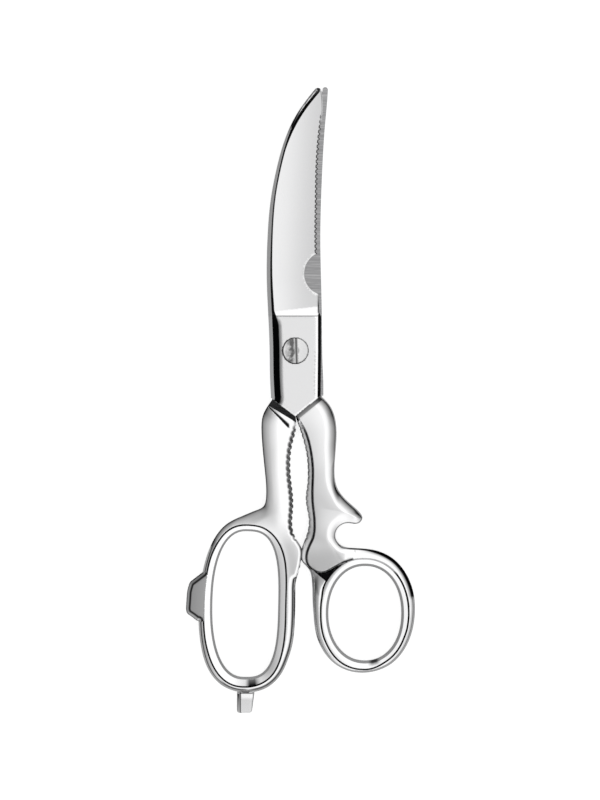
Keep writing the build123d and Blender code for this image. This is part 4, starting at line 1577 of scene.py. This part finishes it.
class SHEARS_OT_pivot_screw(bpy.types.Operator):
    """Make the pivot screw with its slotted head"""
    bl_idname = "shears.pivot_screw"
    bl_label = "Pivot screw"

    def execute(self, context):
        sizes = context.scene.shears_sizes
        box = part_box("pivot_screw")
        top, foot = box[1][2] / MM, box[0][2] / MM
        radius = box[1][0] / MM
        bpy.ops.object.select_all(action="DESELECT")
        bpy.ops.mesh.primitive_cylinder_add(
            vertices=sizes.turns, radius=radius * MM, depth=HEAD_THICK * MM,
            location=(0, 0, (top - HEAD_THICK / 2) * MM),
        )
        screw = context.object
        screw.name = "pivot_screw_head"
        self.pick_faces(screw, 1)
        bpy.ops.mesh.inset(thickness=0.16 * MM, depth=0)
        bpy.ops.mesh.inset(thickness=0.06 * MM, depth=-0.03 * MM)
        for drop in (0.07, 0.06, 0.04, 0.02):
            bpy.ops.mesh.inset(thickness=0.8 * MM, depth=-drop * sizes.head_dish * MM)
        self.pick_faces(screw, -1)
        bpy.ops.mesh.inset(thickness=(radius - JOURNAL) * MM, depth=0)
        bpy.ops.mesh.extrude_region_move(
            TRANSFORM_OT_translate={"value": (0, 0, (MIDDLE - top + HEAD_THICK) * MM)}
        )
        bpy.ops.mesh.inset(thickness=(JOURNAL - THREAD) * MM, depth=0)
        bpy.ops.mesh.extrude_region_move(
            TRANSFORM_OT_translate={"value": (0, 0, (foot + SCREW_POINT - MIDDLE) * MM)}
        )
        bpy.ops.mesh.inset(thickness=SCREW_POINT * MM, depth=SCREW_POINT * MM)
        bpy.ops.object.mode_set(mode="OBJECT")
        self.cut_slot(context, screw, sizes, top)
        bpy.ops.object.transform_apply(location=True, rotation=True, scale=True)
        smoothed(screw, 25)
        screw.data.materials.clear()
        screw.data.materials.append(material_named("turned_steel_rings", turned_material))
        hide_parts("pivot_screw")
        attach(screw, "rear")
        return {"FINISHED"}

    def pick_faces(self, piece, way):
        """Select the flat faces that look up or down, in edit mode."""
        bpy.ops.object.mode_set(mode="EDIT")
        bpy.ops.mesh.select_mode(type="FACE")
        bpy.ops.mesh.select_all(action="DESELECT")
        bpy.ops.object.mode_set(mode="OBJECT")
        for face in piece.data.polygons:
            face.select = face.normal.z * way > 0.9 and len(face.vertices) > 8
        bpy.ops.object.mode_set(mode="EDIT")

    def cut_slot(self, context, screw, sizes, top):
        """Cut the slot and break its edges."""
        bpy.ops.object.select_all(action="DESELECT")
        bpy.ops.mesh.primitive_cube_add(size=1, location=(SLOT_SHIFT * MM, 0, top * MM))
        cutter = context.object
        cutter.scale = (sizes.slot_width * MM, 12 * MM, 2 * sizes.slot_depth * MM)
        bpy.ops.object.transform_apply(location=True, rotation=True, scale=True)
        bpy.ops.transform.rotate(
            value=radians(SLOT_TURN), orient_axis="Z", center_override=(0, 0, 0)
        )
        bpy.ops.object.transform_apply(location=True, rotation=True, scale=True)
        bpy.ops.object.select_all(action="DESELECT")
        context.view_layer.objects.active = screw
        screw.select_set(True)
        cut = screw.modifiers.new("slot", "BOOLEAN")
        cut.object = cutter
        cut.operation = "DIFFERENCE"
        cut.solver = "EXACT"
        bpy.ops.object.modifier_apply(modifier="slot")
        broken = screw.modifiers.new("edges", "BEVEL")
        broken.width = SLOT_BEVEL * MM
        broken.segments = 2
        broken.limit_method = "ANGLE"
        broken.angle_limit = radians(70)
        bpy.ops.object.modifier_apply(modifier="edges")
        bpy.data.objects.remove(cutter, do_unlink=True)


class SHEARS_OT_fasteners(bpy.types.Operator):
    """Give the washer and the nut their turned finish"""
    bl_idname = "shears.fasteners"
    bl_label = "Washer and nut"

    def execute(self, context):
        steel = material_named("turned_steel_rings", turned_material)
        for label in ("spring_washer", "pivot_nut"):
            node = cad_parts[label]
            for slot in node.material_slots:
                slot.material = steel
            if not node.material_slots:
                node.data.materials.append(steel)
        return {"FINISHED"}


class SHEARS_OT_stage(bpy.types.Operator):
    """Make the floor, the light and the camera"""
    bl_idname = "shears.stage"
    bl_label = "Stage"

    def execute(self, context):
        stage = context.scene.shears_stage
        context.scene.view_settings.view_transform = "Standard"
        bpy.ops.object.select_all(action="DESELECT")
        bpy.ops.mesh.primitive_plane_add(size=6, location=(0, 0, -0.00002))
        floor = context.object
        floor.name = "floor"
        floor.data.materials.append(floor_material(stage))
        make_world(context.scene)
        bpy.ops.object.select_all(action="DESELECT")
        bpy.ops.object.camera_add(location=(*CAMERA_PLACE, stage.distance), rotation=(0, 0, 0))
        camera = context.object
        camera.data.sensor_fit = "AUTO"
        camera.data.sensor_width = SENSOR
        camera.data.lens = SENSOR * stage.distance / stage.field
        camera.data.clip_end = 20
        camera.data.clip_start = 0.01
        context.scene.camera = camera
        return {"FINISHED"}


def floor_material(stage):
    """A plain pale floor that the camera sees white, with the shadow kept."""
    material, recipe = new_material("floor_white")
    diffuse = recipe.node("ShaderNodeBsdfDiffuse", Color=(*stage.floor, 1))
    lift = recipe.node("ShaderNodeEmission", Color=(1, 1, 1, 1), Strength=stage.lift)
    both = recipe.node("ShaderNodeAddShader")
    recipe.tree.links.new(diffuse.outputs[0], both.inputs[0])
    recipe.tree.links.new(lift.outputs[0], both.inputs[1])
    recipe.for_camera("Material", diffuse, both)
    return material


def make_world(scene):
    """A soft studio dome: bright overhead, dim on the left, with dark cards near the rim."""
    world = bpy.data.worlds.new("studio_dome")
    scene.world = world
    world.use_nodes = True
    recipe = Recipe(world.node_tree)
    apart = recipe.node("ShaderNodeSeparateXYZ", Vector=recipe.node(
        "ShaderNodeTexCoord").outputs["Generated"])
    x, y, z = (recipe.number(apart, k) for k in range(3))
    flat = (x * x + y * y).most(1e-9) ** 0.5
    lean = z.made("ARCTAN2", flat, z) / pi
    left_part = (0 - x).most(0.0) / flat
    right_part = x.most(0.0) / flat
    up_part = y.most(0.0) / flat
    down_part = (0 - y).most(0.0) / flat

    def dome(stops):
        ramp = recipe.node("ShaderNodeValToRGB", {"stops": [
            (angle / 180, level) for angle, level in stops
        ]}, Fac=lean)
        return recipe.number(ramp, 0)

    left = dome([(0, 1), (8, 0.72), (16, 0.5), (30, 0.37), (50, 0.26), (64, 0.17), (70, 0.08),
                 (75, 0.02), (100, 0.02)])
    right = dome([(0, 1), (5, 0.97), (12, 0.94), (20, 0.86), (28, 0.7), (36, 0.56), (46, 0.42),
                  (56, 0.31), (64, 0.22), (72, 0.13), (78, 0.03), (100, 0.02)])
    up = dome([(0, 1), (88, 1), (92, 0.3)])
    down = dome([(0, 1), (60, 0.9), (74, 0.35), (84, 0.1), (100, 0.02)])
    level = (
        left * left_part * left_part + right * right_part * right_part
        + up * up_part * up_part + down * down_part * down_part
    )
    card = dome([(0, 0), (25, 0), (45, 0.35), (60, 0.6), (70, 0.92), (76, 0.98)])
    corner = (4.5 * right_part * up_part - 0.3).most(0.0).least(1.0)
    veil = dome([(0, 0), (8, 0.2), (16, 0.38), (30, 0.52), (50, 0.68), (66, 0.86), (76, 0.97)])
    far_corner = (3.4 * left_part * up_part - 0.3).most(0.0).least(1.0)
    level = level * (1 - card * corner) * (1 - veil * far_corner) * 1.08
    dome_light = recipe.node("ShaderNodeBackground", Color=(1, 1, 1, 1))
    colour = recipe.node("ShaderNodeCombineColor")
    for k in range(3):
        recipe.tree.links.new(level.socket, colour.inputs[k])
    recipe.tree.links.new(colour.outputs[0], dome_light.inputs[0])
    white = recipe.node("ShaderNodeBackground", Color=(1, 1, 1, 1), Strength=1.0)
    recipe.for_camera("World", dome_light, white)


class SHEARS_PT_panel(bpy.types.Panel):
    bl_label = "Kitchen shears"
    bl_idname = "SHEARS_PT_panel"
    bl_space_type = "VIEW_3D"
    bl_region_type = "UI"
    bl_category = "Shears"

    def draw(self, context):
        layout = self.layout
        scene = context.scene
        for group in (scene.shears_sizes, scene.shears_finish, scene.shears_stage):
            column = layout.column()
            for label in group.bl_rna.properties.keys():
                if label not in {"rna_type", "name"}:
                    column.prop(group, label)
        for operator in OPERATORS:
            layout.operator(operator.bl_idname)


OPERATORS = (
    SHEARS_OT_front_half, SHEARS_OT_rear_half, SHEARS_OT_pivot_screw, SHEARS_OT_fasteners,
    SHEARS_OT_stage,
)
GROUPS = (
    ("shears_sizes", ShearsSizes), ("shears_finish", ShearsFinish), ("shears_stage", ShearsStage),
)


def register():
    for label, group in GROUPS:
        bpy.utils.register_class(group)
        setattr(bpy.types.Scene, label, PointerProperty(type=group))
    for operator in OPERATORS:
        bpy.utils.register_class(operator)
    bpy.utils.register_class(SHEARS_PT_panel)


def unregister():
    bpy.utils.unregister_class(SHEARS_PT_panel)
    for operator in reversed(OPERATORS):
        bpy.utils.unregister_class(operator)
    for label, group in reversed(GROUPS):
        delattr(bpy.types.Scene, label)
        bpy.utils.unregister_class(group)


def main():
    register()
    bpy.ops.object.select_all(action="DESELECT")
    bpy.ops.shears.front_half()
    bpy.ops.shears.rear_half()
    bpy.ops.shears.pivot_screw()
    bpy.ops.shears.fasteners()
    bpy.ops.shears.stage()


if __name__ == "__main__":
    main()
